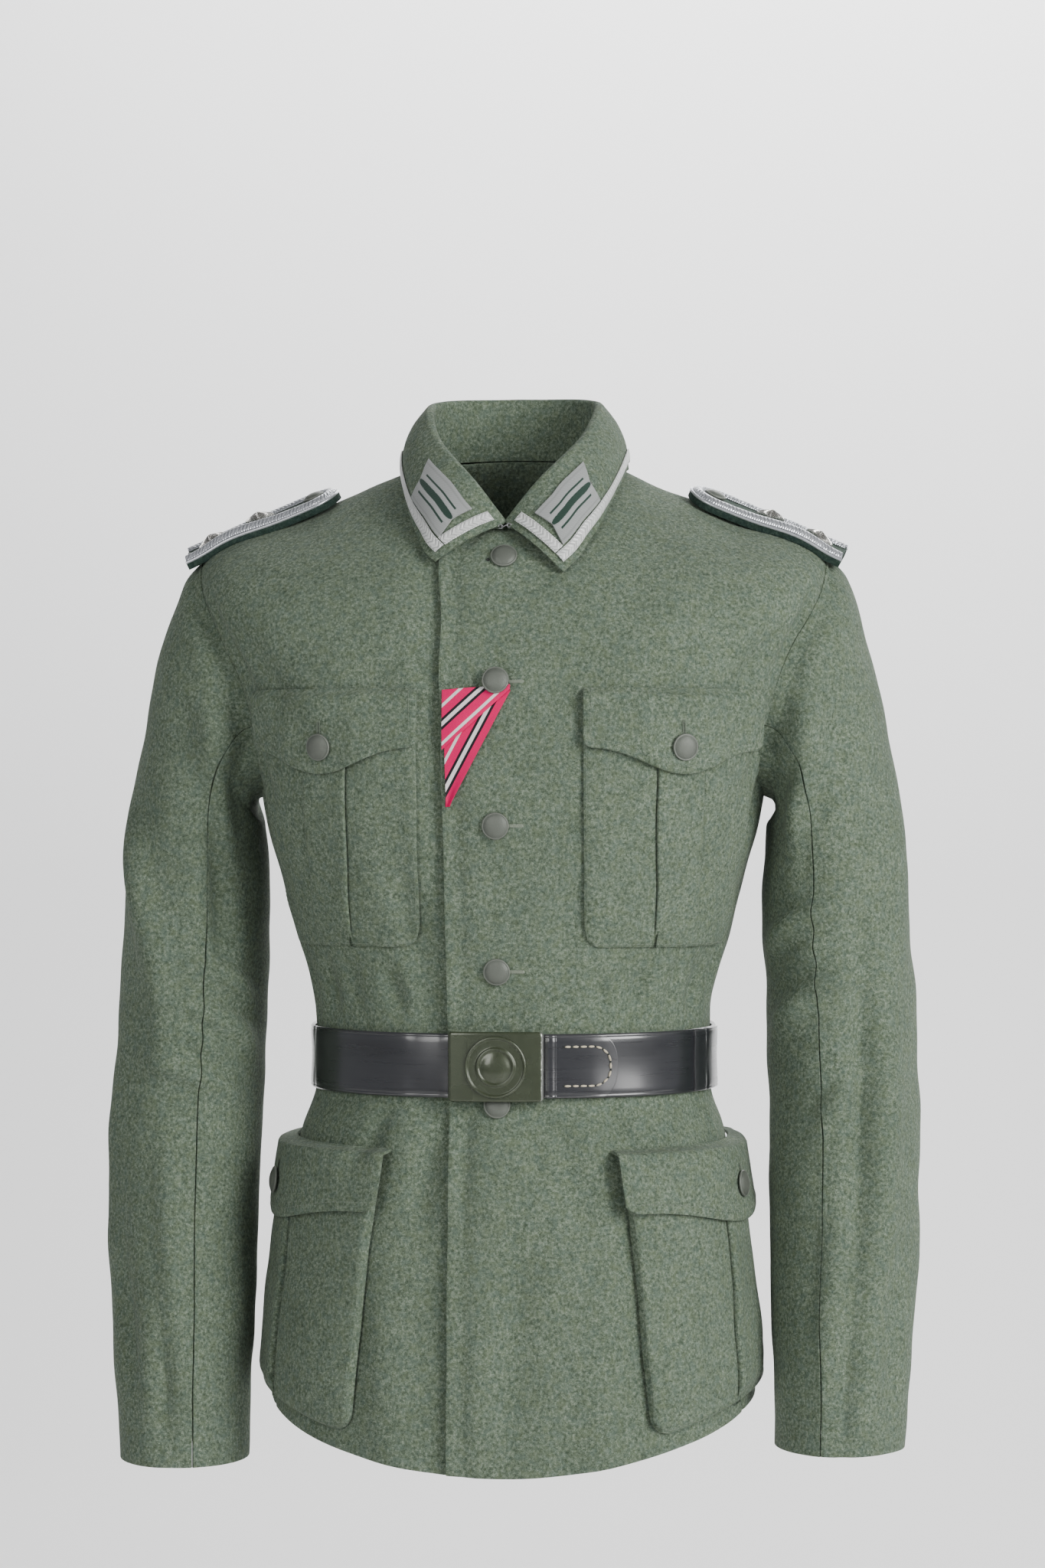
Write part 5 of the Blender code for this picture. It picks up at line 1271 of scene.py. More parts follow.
# Ribbon through the second buttonhole: a soft rolled fold, and a tail that narrows to a point
def ribbonPiece(node, corners, out, rows, profile, shift):
    across, down = np.meshgrid(np.linspace(0, 1, 40), np.linspace(0, 1, rows))
    topX = blend(corners[0][0], corners[1][0], across)
    lowX = blend(corners[3][0], corners[2][0], across)
    topZ = blend(corners[0][1], corners[1][1], across)
    lowZ = blend(corners[3][1], corners[2][1], across)
    angle, v = frontSpot(blend(topX, lowX, down), blend(topZ, lowZ, down))
    grid = bodyPoint(angle, v, out + ribbon["thick"] + profile(across, down))
    x = blend(topX, lowX, down)
    z = blend(topZ, lowZ, down)
    slant = math.radians(shift[1])
    weave = np.stack([-z * math.cos(slant) - x * math.sin(slant) + 0.3,
                      x * math.cos(slant) - z * math.sin(slant) + shift[0]], axis=-1)
    piece = shell("striped_" + node, grid, bareNormal(angle, v), "ribbon", wall=0.0009, edge=0.00025,
                  weave=weave)
    keep(piece, "ribbon", node)
    cutSize(grid)


ribbonPiece("ribbon_tail", ((-0.0398, -0.170), (0.0074, -0.1655), (-0.0350, -0.2455), (-0.0370, -0.2460)),
            ribbon["lay"], 60,
            lambda a, d: 0.0008 * np.sin(a * 5 + d * 3) * d + 0.0004, (-0.0605, 28))
ribbonPiece("ribbon_fold", ((-0.0402, -0.1650), (0.0070, -0.1615), (0.0072, -0.1650), (-0.0402, -0.2065)),
            ribbon["rise"], 30,
            lambda a, d: 0.0011 * np.sin(np.clip(d, 0, 1) * math.pi) ** 0.6 + 0.0004 * np.sin(a * 7),
            (-0.0975, 48))
print("buttons and ribbon made")


# Belt: a strap from one side of the buckle round the back to the other
belt = {
    "height": -0.427, "width": 0.045, "thick": 0.003, "out": 0.0013, "ends": (0.0170, -0.0250),
    "left": 0.0300, "right": -0.0370, "tall": 0.049, "face": -0.1285, "bulge": 0.0026, "wall": 0.0016,
}
beltRing = 4.5


def strapLine(angles):
    # Points and level normals of the strap's inner face, at the belt's middle height
    angles = np.asarray(angles, float)
    normal = bareNormal(angles, beltRing)
    flat = unit(normal * np.array([1, 1, 0]))
    point = bodyPoint(angles, beltRing, belt["out"])
    lines = []
    for level in np.linspace(-0.5, 0.5, 3):
        placed = point.copy()
        placed[:, 2] = belt["height"] + belt["width"] * level
        raised = liftedGrid(placed[None], belt["out"])[0]
        raised[:, 2] = placed[:, 2]
        lines.append(raised)
    return np.array(lines), flat


def strapGrid(angles, levels, out, thick=None):
    # Outer face of a strip of strap: rounded at its two long edges and slightly crowned
    lines, flat = strapLine(angles)
    levels = np.asarray(levels, float)
    grid = smoothRow(lines.reshape(3, -1), (levels + 0.5) * 2).reshape(len(levels), -1, 3)
    edge = np.clip((0.5 - np.abs(levels)) * belt["width"] / 0.0022, 0, 1)
    crown = (thick or belt["thick"]) - 0.0011 * (1 - edge) ** 2 + 0.0003 * (1 - (2 * levels) ** 2)
    groove = 0.00035 * np.exp(-((np.abs(levels) - 0.445) * belt["width"] / 0.0007) ** 2)
    return grid + flat[None] * (out + crown - groove)[:, None, None], flat


beltLevels = np.concatenate([np.linspace(-0.5, -0.43, 9), np.linspace(-0.41, 0.41, 15),
                             np.linspace(0.43, 0.5, 9)])
firstAngle = float(angleAt(belt["ends"][0], beltRing))
lastAngle = 2 * math.pi + float(angleAt(belt["ends"][1], beltRing))
beltAngles = np.linspace(firstAngle, lastAngle, 300)
grid, flat = strapGrid(beltAngles, beltLevels, 0.0)
along = np.linspace(0, 1, len(beltAngles))[None, :]
grid = grid + flat[None] * (0.0005 * np.sin(along * 47) * np.cos(beltLevels * 3)[:, None])[..., None]
piece = shell("leather_belt", grid, flat, "leather", wall=0.0029, edge=0.0004)
rub = np.clip((np.abs(beltLevels) - 0.455) / 0.04, 0, 1)[:, None]
addWear(piece, rub * (0.75 + 0.25 * np.sin(along * 130) * np.sin(along * 37)))
keep(piece, "leather", "belt_strap")
cutSize(grid)

# The end folded round the buckle's bar: a fat roll beside the plate, then a sewn tab with a rounded end
tabFrom, tabTo = 0.0298, 0.0785
tabX = np.concatenate([np.linspace(tabFrom, 0.0385, 22, endpoint=False), np.linspace(0.0385, tabTo, 60)])
tabAngles = angleAt(tabX, beltRing)
tabLevels = np.concatenate([np.linspace(-0.485, -0.44, 7), np.linspace(-0.42, 0.42, 17),
                            np.linspace(0.44, 0.485, 7)])
roll = 0.0031 * np.sqrt(np.clip(1 - ((tabX - 0.0338) / 0.0042) ** 2, 0, 1))
tabThick = 0.0017 - 0.0006 * ease((tabX - 0.060) / 0.018)
grid, flat = strapGrid(tabAngles, tabLevels, 0.0)
grid = grid + flat[None] * (np.maximum(tabThick, roll) + 0.0002)[None, :, None]
endCut = 0.010 * (np.abs(tabLevels) * 2 / 0.97) ** 3.0
shrink = ease((tabX - 0.060) / 0.018)[None, :] * endCut[:, None]
lean = unit(grid[:, 1:] - grid[:, :-1])
lean = np.concatenate([lean, lean[:, -1:]], axis=1)
grid = grid - lean * shrink[..., None]
piece = shell("leather_tab", grid, flat, "leather", wall=0.0017, edge=0.0004)
tabRub = np.clip((np.abs(tabLevels) - 0.44) / 0.04, 0, 1)[:, None]
addWear(piece, tabRub * 0.9 + ease((tabX - 0.070) / 0.008)[None, :] * 0.6)
keep(piece, "leather")

# The strap's other end lies on the outside far round the left, one layer up
spareAngles = angleAt(np.linspace(0.1285, 0.1425, 40), beltRing)
grid, flat = strapGrid(spareAngles, tabLevels, 0.0)
grid = grid + flat[None] * 0.0019
piece = shell("leather_spare", grid, flat, "leather", wall=0.0018, edge=0.0004)
addWear(piece, tabRub * 0.8 + np.exp(-np.linspace(0, 9, 40))[None, :] * 0.9)
keep(piece, "leather")


# Buckle: a convex plate with rolled edges, its sides turned back to the strap, and a turned boss
buckleMiddle, buckleHalf = (belt["left"] + belt["right"]) / 2, (belt["left"] - belt["right"]) / 2


def buckleFace(x):
    return belt["face"] + belt["bulge"] * ((x - buckleMiddle) / buckleHalf) ** 2


def buckleFoot(side):
    x = buckleMiddle + side * buckleHalf
    lines, flat = strapLine([float(angleAt(x, beltRing))])
    return float(lines[1, 0, 1] + flat[0, 1] * (belt["thick"] + 0.0010))


def bucklePlate():
    # Across: side wall, rounded corner, face, rounded corner, side wall
    radius, steps = 0.0026, 7
    path = [(-buckleHalf, buckleFoot(-1)), (-buckleHalf, (buckleFoot(-1) + buckleFace(belt["right"])) / 2)]
    for k in range(steps + 1):
        turn = math.pi / 2 * k / steps
        x = -buckleHalf + radius * (1 - math.cos(turn))
        path.append((x, buckleFace(buckleMiddle + x) + radius * (1 - math.sin(turn))))
    path += [(x, buckleFace(buckleMiddle + x))
             for x in np.linspace(-buckleHalf + radius, buckleHalf - radius, 40)[1:-1]]
    for k in reversed(range(steps + 1)):
        turn = math.pi / 2 * k / steps
        x = buckleHalf - radius * (1 - math.cos(turn))
        path.append((x, buckleFace(buckleMiddle + x) + radius * (1 - math.sin(turn))))
    path += [(buckleHalf, (buckleFoot(1) + buckleFace(belt["left"])) / 2), (buckleHalf, buckleFoot(1))]
    path = np.array(path)
    tall = belt["tall"] / 2
    rim = [tall - 0.0018 * (1 - math.sin(t)) for t in np.linspace(math.pi / 2, 0, 6)]
    levels = rim + list(np.linspace(tall - 0.0022, -tall + 0.0022, 26)) + [-z for z in reversed(rim)]
    levels = [round(z, 7) for z in levels]
    grid = np.zeros((len(levels), len(path), 3))
    wear = np.zeros((len(levels), len(path)))
    for r, z in enumerate(levels):
        fromEdge = max(0.0, 1 - (tall - abs(z)) / 0.0018)
        sink = 0.0018 * (1 - math.sqrt(max(0.0, 1 - fromEdge * fromEdge)))
        # The plate narrows slightly towards its two long edges, and its corners are rounded
        pinch = 0.0014 * max(0.0, 1 - (tall - abs(z)) / 0.0026) ** 2
        for c, (x, y) in enumerate(path):
            squeezed = x * (1 - pinch / buckleHalf)
            grid[r, c] = (buckleMiddle + squeezed, y + sink, belt["height"] + z)
            side = min(1.0, max(0.0, 1.45 - (buckleHalf - abs(x)) / 0.0024))
            wear[r, c] = max(side * (0.95 if x > 0 else 0.50), fromEdge * (0.72 if z > 0 else 0.45))
    piece = shell("buckle_cover", grid, np.array([0, -1.0, 0]), "buckle", wall=belt["wall"], edge=0.0003)
    addWear(piece, wear)
    return keep(piece, "buckle", "buckle_plate")


bucklePlate()


def buckleSpot(a, b, h):
    x = buckleMiddle + a
    return Vector((x, buckleFace(x) - h, belt["height"] + b))


def bead(radius, half, height, count=7):
    # Rounded ring in a turned profile
    turns = np.linspace(math.pi, 0, count)
    return [(radius + half * math.cos(t), 0.0008 + height * math.sin(t)) for t in turns]


bossProfile = [(0.0217, 0.0002)] + bead(0.0206, 0.0011, 0.0011)[::-1]
bossProfile += [(0.0188, 0.0007), (0.0165, 0.00065), (0.0146, 0.0007)] + bead(0.0126, 0.0012, 0.0010)[::-1]
bossProfile += [(0.0108, 0.0008), (0.0100, 0.0010), (0.0088, 0.0015), (0.0068, 0.0021), (0.0046, 0.0025),
                (0.0022, 0.0027)]
ringWear = [0.2, 0.35, 0.5, 0.56, 0.5, 0.35, 0.2]
bossWear = [0.1] + ringWear + [0, 0, 0] + ringWear + [0, 0.05, 0.1, 0.2, 0.3, 0.35]
spun("buckle_rings", bossProfile, buckleSpot, "buckle", "buckle", "buckle_boss", count=72, wear=bossWear)
print("belt and buckle made")


# Shoulder boards, each flat and stiff on the crest of the shoulder
board = {
    "neck": Vector((0.128, 0.004, -0.018)), "tip": Vector((0.2405, 0.002, -0.0665)), "half": 0.023,
    "thick": 0.0045,
    "tilt": math.radians(15), "limit": 0.0046, "pips": (0.50, 0.82), "pipHalf": 0.0110,
}
board["length"] = (board["tip"] - board["neck"]).length
shoulderPoints, shoulderFaces = list(skinPoints), list(skinFaces)
for side in (1, -1):
    rows, count = 26, 48
    grid = sleevePoint(side, np.radians(np.arange(count) * 7.5), np.linspace(0, 5, rows)[:, None])
    base = len(shoulderPoints)
    shoulderPoints.extend(Vector(p) for p in grid.reshape(-1, 3))
    for r in range(rows - 1):
        for k in range(count):
            a, b = base + r * count + k, base + r * count + (k + 1) % count
            quad = (a, b, b + count, a + count)
            shoulderFaces.append(quad if side < 0 else quad[::-1])
shoulders = BVHTree.FromPolygons(shoulderPoints, shoulderFaces)


def boardFrame(side):
    along = (board["tip"] - board["neck"]).normalized()
    level = Vector((0, 1, 0))
    up = along.cross(level).normalized()
    up = up if up.z > 0 else -up
    normal = (up * math.cos(board["tilt"]) - level * math.sin(board["tilt"])).normalized()
    back = normal.cross(along)
    back = back if back.y > 0 else -back

    def flat(a, b, h):
        point = board["neck"] + along * a + back * b + normal * h
        return Vector((side * point.x, point.y, point.z))

    # The board bends over the shoulder: a smooth surface through the heights found below it
    def terms(a, b):
        a, b = a / board["length"], b / board["half"]
        return np.array([1, a, a * a, a ** 3, b, a * b, a * a * b, b * b])

    out = (flat(0, 0, 1) - flat(0, 0, 0)).normalized()
    rows, heights = [], []
    for a in np.linspace(0.004, board["length"] - 0.010, 14):
        for b in np.linspace(-0.95, 0.95, 7) * board["half"]:
            hit, _, _, distance = shoulders.ray_cast(flat(a, b, 0.05), -out, 0.10)
            if hit:
                rows.append(terms(a, b))
                heights.append(0.05 - distance)
    shape = np.linalg.lstsq(np.array(rows), np.array(heights), rcond=None)[0]
    crest = max(heights)

    def place(a, b, h):
        below = max(0.0, crest - float(terms(a, b) @ shape))
        return flat(a, b, h + crest - board["limit"] * math.tanh(below / board["limit"]))

    return place


def boardSeat(place):
    # How far out the board moves for its underside just to clear the shoulder
    need = -1.0
    normal = (place(0, 0, 1) - place(0, 0, 0)).normalized()
    for i in range(13):
        for j in range(-4, 5):
            point = place(board["length"] * i / 12, board["half"] * j / 4, 0.0)
            hit, _, _, distance = shoulders.ray_cast(point + normal * 0.05, -normal, 0.10)
            if hit:
                need = max(need, 0.05 - distance + 0.0004)
    return need


def restOn(place, a, b, seat):
    # Point of the underlay's lower face, let down on to the shoulder where that is near
    point = place(a, b, 0.0)
    normal = (place(0, 0, 1) - place(0, 0, 0)).normalized()
    hit, _, _, distance = shoulders.ray_cast(point + normal * 0.05, -normal, 0.10)
    rest = 0.05 - distance + 0.0003 if hit else seat
    return place(a, b, max(min(rest, seat), seat - 0.0022))


def boardEdge(inset, steps=40, arc=26, end=None):
    # The board's edge from its square end along the front, round the neck end and back along the rear
    radius = board["half"] - inset
    far = board["length"] - 0.0005 - (inset * 0.2 if end is None else end)
    points = [(blend(far, board["half"], k / steps), -radius) for k in range(steps)]
    turns = np.radians(np.linspace(-90, -270, arc))
    points += [(board["half"] + radius * math.cos(t), radius * math.sin(t)) for t in turns]
    points += [(blend(board["half"], far, (k + 1) / steps), radius) for k in range(steps)]
    return np.array(points)


def boardSlab(name, place, low, high, inset, finish, edge, slot, node=None, end=None):
    # Flat cloth layer of the board: rows run from its front edge over to its rear edge
    line = boardEdge(inset, end=end)
    half = len(line) // 2
    front, rear = line[:half], line[::-1][:half]
    shares = np.linspace(0, 1, 13)[:, None, None]
    flat = front[None] * (1 - shares) + rear[None] * shares
    arch = 0.0006 * (1 - (2 * shares[..., 0] - 1) ** 2)
    grid = np.array([[place(a, b, high + h) for (a, b), h in zip(row, np.broadcast_to(bulge, len(row)))]
                     for row, bulge in zip(flat, arch)])
    normal = np.array(place(0, 0, 1) - place(0, 0, 0))
    piece = keep(shell(name, grid, normal, finish, wall=high - low, edge=edge), slot,
                 *([node] if node else []))
    return piece, grid


def weld(made):
    # Joins doubled corners and turns every face outwards
    shape = bmesh.new()
    shape.from_mesh(made.data)
    bmesh.ops.remove_doubles(shape, verts=shape.verts, dist=1e-6)
    bmesh.ops.recalc_face_normals(shape, faces=shape.faces)
    shape.to_mesh(made.data)
    shape.free()


for side, word in sides:
    place = boardFrame(side)
    seat = boardSeat(place)
    top = seat + board["thick"]
    normal = np.array(place(0, 0, 1) - place(0, 0, 0))
    line = boardEdge(0.0)
    half = len(line) // 2
    shares = np.linspace(0, 1, 15)[:, None, None]
    flat = line[:half][None] * (1 - shares) + line[::-1][:half][None] * shares
    upper = np.array([[place(a, b, seat + 0.0026) for a, b in row] for row in flat])
    lower = np.array([[restOn(place, a, b, seat) for a, b in row] for row in flat])
    tall, wide = upper.shape[:2]
    loop = list(range(wide)) + [r * wide + wide - 1 for r in range(1, tall)]
    loop += [(tall - 1) * wide + c for c in reversed(range(wide - 1))]
    loop += [r * wide for r in reversed(range(1, tall - 1))]
    faces, size = gridFaces(tall, wide).tolist(), tall * wide
    faces = faces + [[k + size for k in face[::-1]] for face in faces]
    faces += [[a, a + size, b + size, b] for a, b in zip(loop, loop[1:] + loop[:1])]
    made = addMesh(f"board_under_{word}", np.concatenate([upper.reshape(-1, 3), lower.reshape(-1, 3)]), faces,
                   "under")
    weld(made)
    soften(made, 0.0006, 60)
    keep(made, "board", f"shoulder_board_{word}")
    boardSlab(f"board_field_{word}", place, seat + 0.0027, top, 0.0030, "field", 0.0004, "board")
    # Woven braid round the rim, domed across its width, and white piping under its outer edge
    lines = [boardEdge(0.0012 + 0.0082 * k / 8) for k in range(9)]
    dome = np.sin(np.linspace(0.06, 0.95, 9) * math.pi) ** 0.8
    heights = top + 0.0003 + 0.0032 * dome - 0.0010 * (1 - np.linspace(0, 1, 9)) ** 4
    grid = np.array([[place(a, b, h) for a, b in line] for line, h in zip(lines, heights)])
    piece = shell(f"braid_board_{word}", grid, normal, "boardBraid", wall=0.0016, edge=0.0003,
                  weave=bandWeave(grid, 0.0072))
    keep(piece, "braid", f"board_braid_{word}")
    turns = np.linspace(0, 2 * math.pi, 9)[:-1]
    line = boardEdge(0.0006)
    outward = boardEdge(0.0) - boardEdge(0.001)
    outward /= np.maximum(np.linalg.norm(outward, axis=1, keepdims=True), 1e-9)
    cord = np.array([[place(a + n[0] * 0.0012 * math.cos(t), b + n[1] * 0.0012 * math.cos(t),
                            seat + 0.0034 + 0.0012 * math.sin(t))
                      for (a, b), n in zip(line, outward)] for t in turns])
    faces = gridFaces(cord.shape[1], len(turns), ring=True)
    tube = np.swapaxes(cord, 0, 1)
    made = addMesh(f"board_piping_{word}", tube.reshape(-1, 3),
                   (faces if side > 0 else faces[:, ::-1]).tolist(), "boardBraid",
                   weave=np.zeros((tube.shape[0] * tube.shape[1], 2)))
    keep(made, "braid")
    button(f"board_button_{word}", None, None, 0.0082, 0.0044,
           lambda a, b, h, s=top + 0.0012: place(0.0185 + a, b, s + h))
    # Worked slot in the board, between its rounded end and the button: a thin sheet painted dark with the
    # shade inside the slot
    slot = np.array([[place(0.0040 + 0.0075 * a, 0.0008 * b, top + 0.0010) for a in np.linspace(0, 1, 12)]
                     for b in (-1, 0, 1)])
    keep(shell(f"board_slot_{word}", slot, normal, "hole", wall=0.0008, edge=0), "board")


# Pips: low four-sided stars, each face pressed into ribs that fan out from the middle
def pip(name, node, place, middle, top):
    half, ribs, rings = board["pipHalf"], 9, 12
    points, faces = [], []
    perSide = ribs * 6
    corners = [(half, 0), (0, half), (-half, 0), (0, -half)]
    for ring in range(rings + 1):
        share = ring / rings
        for k in range(4):
            a, b = corners[k], corners[(k + 1) % 4]
            for j in range(perSide):
                along = j / perSide
                x, y = blend(a[0], b[0], along) * share, blend(a[1], b[1], along) * share
                fan = 0.5 - 0.5 * math.cos(2 * math.pi * ribs * along)
                bow = 4 * along * (1 - along)
                pull = 1 - 0.10 * bow * share
                rib = 0.0019 * fan * share ** 0.8 * (0.45 + 0.55 * bow)
                high = 0.0052 * (1 - share) ** 0.85 + rib + 0.0008
                points.append(place(middle + x * pull, y * pull, top + high))
    count = 4 * perSide
    for k in range(4):
        a, b = corners[k], corners[(k + 1) % 4]
        for j in range(perSide):
            along = j / perSide
            pull = 1 - 0.10 * 4 * along * (1 - along)
            points.append(place(middle + blend(a[0], b[0], along) * pull, blend(a[1], b[1], along) * pull,
                                top + 0.0002))
    for ring in range(rings + 1):
        for j in range(count):
            after = (j + 1) % count
            low, high = ring * count, (ring + 1) * count
            faces.append((low + j, low + after, high + after, high + j))
    base = (rings + 1) * count
    faces.append(tuple(base + j for j in range(count)))
    made = addMesh(name, points, faces, "pip")
    weld(made)
    made.data.shade_flat()
    return keep(made, "pip", node)


for side, word in sides:
    place = boardFrame(side)
    top = boardSeat(place) + board["thick"] + 0.0008
    for number, share in enumerate(board["pips"], 1):
        pip(f"star_{word}_{number}", f"pip_{word}_{number}", place, board["length"] * share, top)
print("shoulder boards made")


# Threads: Geometry Nodes lays a rounded thread on every point, along the direction stored with it
def addNode(tree, kind, values=None, **settings):
    made = tree.nodes.new(kind)
    for key, value in settings.items():
        setattr(made, key, value)
    for key, value in (values or {}).items():
        if isinstance(value, bpy.types.NodeSocket):
            tree.links.new(value, made.inputs[key])
        else:
            made.inputs[key].default_value = value
    return made


def newTree(name, *inputs):
    tree = bpy.data.node_groups.new(name, "GeometryNodeTree")
    tree.interface.new_socket("Geometry", in_out="INPUT", socket_type="NodeSocketGeometry")
    for title, kind in inputs:
        tree.interface.new_socket(title, in_out="INPUT", socket_type="NodeSocket" + kind)
    tree.interface.new_socket("Geometry", in_out="OUTPUT", socket_type="NodeSocketGeometry")
    return tree, tree.nodes.new("NodeGroupInput").outputs, tree.nodes.new("NodeGroupOutput").inputs[0]


def threadTree():
    tree, given, result = newTree("thread rows", ("Length", "Float"), ("Thread", "Float"), ("Seed", "Int"),
                                  ("Finish", "Material"))
    aim = addNode(tree, "GeometryNodeInputNamedAttribute", {"Name": "aim"},
                  data_type="FLOAT_VECTOR").outputs[0]
    turn = addNode(tree, "FunctionNodeAlignRotationToVector", {"Vector": aim}, axis="X")
    uneven = addNode(tree, "FunctionNodeRandomValue", {2: 0.86, 3: 1.10, "Seed": given["Seed"]},
                     data_type="FLOAT").outputs[1]
    long = addNode(tree, "ShaderNodeMath", {0: given["Length"], 1: uneven}, operation="MULTIPLY").outputs[0]
    size = addNode(tree, "ShaderNodeCombineXYZ", {0: long, 1: given["Thread"], 2: given["Thread"]}).outputs[0]
    bead = addNode(tree, "GeometryNodeMeshUVSphere", {"Segments": 6, "Rings": 4, "Radius": 1.0}).outputs[0]
    laidOut = addNode(tree, "GeometryNodeInstanceOnPoints",
                      {"Points": given["Geometry"], "Instance": bead, "Rotation": turn.outputs[0],
                       "Scale": size})
    real = addNode(tree, "GeometryNodeRealizeInstances", {"Geometry": laidOut.outputs[0]})
    painted = addNode(tree, "GeometryNodeSetMaterial",
                      {"Geometry": real.outputs[0], "Material": given["Finish"]})
    tree.links.new(painted.outputs[0], result)
    return tree


def tubeTree():
    tree, given, result = newTree("bent wire", ("Radius", "Float"), ("Finish", "Material"))
    line = addNode(tree, "GeometryNodeMeshToCurve", {"Mesh": given["Geometry"]})
    ring = addNode(tree, "GeometryNodeCurvePrimitiveCircle", {"Resolution": 10, "Radius": given["Radius"]})
    tube = addNode(tree, "GeometryNodeCurveToMesh",
                   {"Curve": line.outputs[0], "Profile Curve": ring.outputs[0], "Fill Caps": True})
    real = addNode(tree, "GeometryNodeRealizeInstances", {"Geometry": tube.outputs[0]})
    painted = addNode(tree, "GeometryNodeSetMaterial",
                      {"Geometry": real.outputs[0], "Material": given["Finish"]})
    tree.links.new(painted.outputs[0], result)
    return tree


def grown(name, base, tree, values):
    # Runs a tree on a base object and keeps its mesh alone
    modifier = base.modifiers.new(name, "NODES")
    modifier.node_group = tree
    for item in tree.interface.items_tree:
        if item.in_out == "INPUT" and item.name in values:
            modifier[item.identifier] = values[item.name]
    bpy.context.view_layer.update()
    mesh = bpy.data.meshes.new_from_object(base.evaluated_get(bpy.context.evaluated_depsgraph_get()))
    mesh.name = name
    mesh.shade_smooth()
    base.modifiers.clear()
    bpy.data.objects.remove(base)
    made = bpy.data.objects.new(name, mesh)
    bpy.context.collection.objects.link(made)
    return made


threadRows, wires = threadTree(), tubeTree()


def along(path, pitch, margin=0.0):
    # Points one pitch apart down a path, and the path's direction at each
    path = np.asarray(path, float)
    travel = travelled(path)
    count = max(2, int(round((travel[-1] - 2 * margin) / pitch)))
    spots = np.linspace(margin + pitch / 2, travel[-1] - margin - pitch / 2, count)

    def at(distance):
        return np.stack([np.interp(distance, travel, path[:, k]) for k in range(3)], axis=-1)

    return at(spots), unit(at(spots + pitch * 0.4) - at(spots - pitch * 0.4))


def threads(name, points, aims, slot, finish="thread", length=0.0026, thread=0.00036, seed=3):
    mesh = bpy.data.meshes.new(name)
    mesh.from_pydata([tuple(map(float, p)) for p in points], [], [])
    layer = mesh.attributes.new("aim", "FLOAT_VECTOR", "POINT")
    layer.data.foreach_set("vector", np.asarray(aims, dtype=np.float32).ravel())
    base = bpy.data.objects.new(name + "_path", mesh)
    bpy.context.collection.objects.link(base)
    values = {"Length": length / 2, "Thread": thread, "Seed": seed, "Finish": finishes[finish]}
    return keep(grown(name, base, threadRows, values), slot)


def stitched(name, paths, slot="wool", pitch=0.0033, **look):
    rows = [along(path, pitch) for path in paths]
    points, aims = np.concatenate([row[0] for row in rows]), np.concatenate([row[1] for row in rows])
    return threads(name, points, aims, slot, length=pitch * 0.80, **look)


def acrossRow(grid, distance, fromEnd=False):
    # Points at one distance down every column of a grid
    line = grid[::-1] if fromEnd else grid
    travel = np.concatenate([np.zeros((1, line.shape[1])),
                             np.cumsum(np.linalg.norm(np.diff(line, axis=0), axis=-1), axis=0)])
    return np.array([[np.interp(distance, travel[:, c], line[:, c, k]) for k in range(3)]
                     for c in range(line.shape[1])])


def edgePath(grid, inset):
    # Down one side, along the foot and up the other side of a grid, all at one inset
    flipped = np.swapaxes(grid, 0, 1)
    first, last = acrossRow(flipped, inset), acrossRow(flipped, inset, True)
    foot = acrossRow(grid, inset, True)

    def above(side, column):
        gap = np.linalg.norm(side - grid[-1, column], axis=-1)
        return side[gap > inset * 1.25]

    travel = travelled(grid[-1])
    middle = foot[(travel > inset * 1.05) & (travel < travel[-1] - inset * 1.05)]
    return np.concatenate([above(first, 0), middle, above(last, -1)[::-1]])


for side, word in sides:
    flaps = [edgePath(surfaces[f"chest_flap_{word}"], 0.0062),
             edgePath(surfaces[f"skirt_flap_{word}"], 0.0065)]
    stitched(f"stitches_flaps_{word}", flaps)
    pockets = [edgePath(surfaces[f"chest_pocket_{word}"], 0.0022),
               edgePath(surfaces[f"skirt_pocket_{word}"], 0.0058)]
    stitched(f"stitches_pockets_{word}", pockets, thread=0.00028)
    top, under = panelGrids[f"sleeve_{word}_top"][0], panelGrids[f"sleeve_{word}_under"][0]
    stitched(f"stitches_cuff_{word}", [acrossRow(top, 0.020, True), acrossRow(under, 0.020, True)],
             thread=0.00026)
hemRows = [acrossRow(panelGrids[name][0], 0.022)
           for name in ("front_left", "front_right", "back", "side_left", "side_right")]
hemRows[1] = hemRows[1][hemRows[1][:, 0] < -0.052]
stitched("stitches_hem", hemRows, thread=0.00026)
skirtRows = [acrossRow(panelGrids[name][0], 0.098) for name in ("front_left", "front_right")]
skirtRows = [skirtRows[0][skirtRows[0][:, 0] < 0.098],
             skirtRows[1][(skirtRows[1][:, 0] > -0.098) & (skirtRows[1][:, 0] < -0.050)]]
stitched("stitches_skirt", skirtRows, thread=0.00022)
